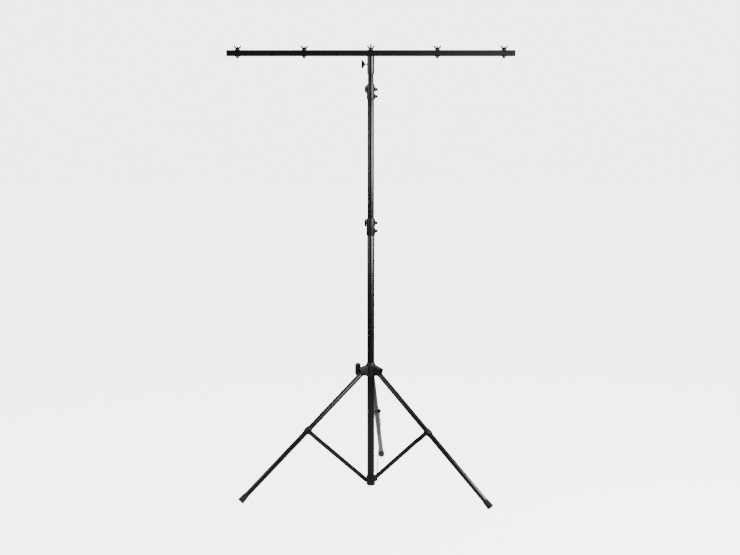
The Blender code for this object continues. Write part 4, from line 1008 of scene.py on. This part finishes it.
def t_bar():
    """The square bar with its end caps, the socket, the five bolts, and the thumb screw."""
    half = T_BAR_LENGTH / 2
    cap_seat = half - END_CAP_THICKNESS - SEAT
    across = shift(z=T_BAR_HEIGHT) @ OUTWARDS
    bar = slab(square(T_BAR_SIZE, T_BAR_CORNER, 8), -cap_seat, cap_seat, across, edge=0.0003)
    piece("t_bar_tube", "t_bar", MATT_PAINT, [bar])
    inside = T_BAR_SIZE - 2 * T_BAR_WALL
    spigot = square(inside - 2 * SEAT, 0.0015, 4)
    for name, turn in (("left", LEFTWARDS), ("right", OUTWARDS)):
        place = shift(z=T_BAR_HEIGHT) @ turn
        shells = [
            slab(square(T_BAR_SIZE, T_BAR_CORNER, 6), cap_seat + SEAT, half, place, edge=0.0009),
            slab(spigot, cap_seat - END_CAP_SPIGOT, cap_seat + JOIN, place, edge=0.0004),
        ]
        piece(f"t_bar_end_cap_{name}", "t_bar", NYLON, shells)

    socket_top = T_BAR_BOTTOM - SEAT
    bottom = socket_top - SOCKET_LENGTH
    bore = TOP_TUBE_RADIUS + SLIDE
    wall = eased(
        [
            (SOCKET_RADIUS, socket_top, 0.0005),
            (SOCKET_RADIUS, bottom, 0.0018),
            (bore, bottom, 0.0006),
            (bore, socket_top, 0.0003),
        ],
        5,
    )
    piece("t_bar_socket", "t_bar", POWDER_COAT, [turned(wall, ring=True, facets=96)])

    head_seat = T_BAR_BOTTOM - SEAT
    nut_seat = T_BAR_TOP + SEAT
    length = nut_seat - head_seat + WASHER_THICKNESS + T_BAR_BOLT_RISE
    washer = eased(
        [
            (0, 0, 0),
            (WASHER_RADIUS, 0, 0.0003),
            (WASHER_RADIUS, -WASHER_THICKNESS, 0.0005),
            (0, -WASHER_THICKNESS, 0),
        ],
        3,
        ring=False,
    )
    plain = shank(T_BAR_BOLT_RADIUS - THREAD_DEPTH / 2, THREAD_START + JOIN, -JOIN)
    for number in range(1, T_BAR_BOLT_COUNT + 1):
        x = T_BAR_BOLT_PITCH * (number - (T_BAR_BOLT_COUNT + 1) / 2)
        reach = length if x else length + CENTRE_BOLT_EXTRA
        place = shift(x, 0.0, head_seat)
        head_place = place @ shift(z=-WASHER_THICKNESS) @ TURNED_OVER
        shells = [
            turned(washer, place, facets=48),
            hex_head(BOLT_HEAD_RADIUS, 0.0, BOLT_HEAD_LENGTH, head_place),
            turned(threaded(T_BAR_BOLT_RADIUS, THREAD_START, reach), place, facets=32),
            turned(plain, place, facets=32),
        ]
        piece(f"t_bar_bolt_{number}", "t_bar", BLACK_ZINC, shells)
        wing_nut(number, shift(x, 0.0, nut_seat))

    height = T_BAR_BOTTOM - THUMB_SCREW_DROP
    place = shift(z=height) @ LEFTWARDS
    neck = THUMB_HEAD_REACH - THUMB_HEAD_DEPTH
    tip = TOP_TUBE_RADIUS + SEAT
    screw = shank(THUMB_SCREW_RADIUS, neck + 4 * JOIN, tip)
    collar_top = THUMB_HEAD_REACH - 0.004
    collar = eased(
        [
            (0, collar_top, 0),
            (THUMB_HUB_RADIUS * 0.8, collar_top, 0.001),
            (THUMB_HUB_RADIUS, neck, 0.0008),
            (0, neck, 0),
        ],
        4,
        ring=False,
    )
    shoulder, corner = THUMB_HEAD_REACH - THUMB_SHOULDER_DROP, THUMB_HEAD_HEIGHT / 2
    rim = corner - THUMB_RIM_INSET
    fan = eased(
        [
            (THUMB_HUB_RADIUS, neck + 0.0005, 0.001),
            (corner, shoulder, 0.003),
            (rim, THUMB_HEAD_REACH, 0.0025),
            (-rim, THUMB_HEAD_REACH, 0.0025),
            (-corner, shoulder, 0.003),
            (-THUMB_HUB_RADIUS, neck + 0.0005, 0.001),
        ],
        6,
    )
    flat = THUMB_HEAD_THICKNESS / 2
    head = slab(fan, -flat, flat, shift(z=height) @ LEFTWARDS @ ACROSS, edge=0.0018, steps=6)
    shells = [turned(screw, place, facets=32), turned(collar, place), head]
    piece("t_bar_thumb_screw", "t_bar_thumb_screw", BLACK_ZINC, shells)


def wing_nut(number, place):
    """A cone on a washer, with two wings."""
    washer = eased(
        [
            (0, WASHER_THICKNESS, 0),
            (WASHER_RADIUS, WASHER_THICKNESS, 0.0005),
            (WASHER_RADIUS, 0, 0.0003),
            (0, 0, 0),
        ],
        3,
        ring=False,
    )
    cone = eased(
        [
            (0, NUT_HEIGHT, 0),
            (NUT_TOP_RADIUS, NUT_HEIGHT, 0.0010),
            (NUT_RADIUS, WASHER_THICKNESS + 0.0012, 0.0010),
            (NUT_RADIUS, WASHER_THICKNESS - 0.0005, 0),
            (0, WASHER_THICKNESS - 0.0005, 0),
        ],
        4,
        ring=False,
    )
    shells = [turned(washer, place, facets=48), turned(cone, place, facets=48)]
    shells += [wing(place @ Matrix.Rotation(angle, 4, "Z")) for angle in (0.0, pi)]
    piece(f"wing_nut_{number}", f"wing_nut_{number}", BLACK_ZINC, shells)


# ---------------------------------------------------------------- studio


def aimed(place, aim):
    """A lamp's place and turn, so that it shines from the one point to the other."""
    direction = Vector(aim) - Vector(place)
    return shift(*place) @ direction.to_track_quat("-Z", "Y").to_matrix().to_4x4()


def studio():
    """The white floor and backdrop, the soft lights, and the camera."""
    mesh = bpy.data.meshes.new("studio_floor")
    corners = np.array([(-1, -1, 0), (1, -1, 0), (1, 1, 0), (-1, 1, 0)]) * FLOOR_REACH
    mesh.from_pydata(corners + (0, 0, cad_low[2] - FLOOR_GAP), [], [(0, 1, 2, 3)])
    floor = bpy.data.objects.new("studio_floor", mesh)
    bpy.context.scene.collection.objects.link(floor)
    acrylic = bpy.data.materials.new("lit_white_acrylic")
    acrylic.use_nodes = True
    for socket, value in (
        ("Base Color", linear("#f2f2f2")),
        ("Roughness", 0.9),
        ("Specular IOR Level", 0.0),
        ("Emission Color", linear("#ffffff")),
        ("Emission Strength", BACKDROP),
    ):
        acrylic.node_tree.nodes["Principled BSDF"].inputs[socket].default_value = value
    mesh.materials.append(acrylic)
    # The floor is white acrylic lit from below. It would light the whole stand, which the photograph's floor
    # doesn't, so the stand sees only the two patches of its glow among the soft lights.
    floor.visible_glossy = False
    floor.visible_diffuse = False

    # The backdrop that the camera sees is white, and what lights the stand from all round is dim.
    world = bpy.data.worlds.new("white_studio")
    world.use_nodes = True
    tree = world.node_tree
    tree.nodes["Background"].inputs["Color"].default_value = (1.0, 1.0, 1.0, 1.0)
    seen = add(tree, "ShaderNodeLightPath").outputs["Is Camera Ray"]
    strength = add(tree, "ShaderNodeMapRange", {"Value": seen, "To Min": ROOM, "To Max": BACKDROP})
    tree.links.new(strength.outputs["Result"], tree.nodes["Background"].inputs["Strength"])
    bpy.context.scene.world = world

    sun = bpy.data.lights.new("overhead_softbox", "SUN")
    sun.energy = OVERHEAD
    sun.angle = OVERHEAD_SPREAD
    lamp = bpy.data.objects.new("overhead_softbox", sun)
    lamp.matrix_world = aimed(OVERHEAD_PLACE, (0.0, 0.0, 0.0))
    bpy.context.scene.collection.objects.link(lamp)
    for name, place, aim, size, power in SOFT_LIGHTS:
        light = bpy.data.lights.new(name, "AREA")
        light.shape = "RECTANGLE"
        light.size, light.size_y = size
        light.energy = power
        lamp = bpy.data.objects.new(name, light)
        bpy.context.scene.collection.objects.link(lamp)
        lamp.matrix_world = aimed(place, aim)
        lamp.visible_camera = False

    camera = bpy.data.cameras.new("camera")
    camera.lens = LENS
    camera.sensor_width = SENSOR_WIDTH
    camera.clip_end = FAR_CLIP
    view = bpy.data.objects.new("camera", camera)
    view.location = CAMERA_PLACE
    view.rotation_euler = (CAMERA_TILT, 0.0, 0.0)
    bpy.context.scene.collection.objects.link(view)
    bpy.context.scene.camera = view


# Each leg's upright plane, with x outwards
planes = [Matrix.Rotation(TRIPOD_TURN + pi / 2 + 2 * pi * n / 3, 4, "Z") for n in range(3)]
mast()
foot_collar(planes)
hub(planes)
for number, plane in enumerate(planes, 1):
    leg(number, plane)
    brace(number, plane)
t_bar()
studio()
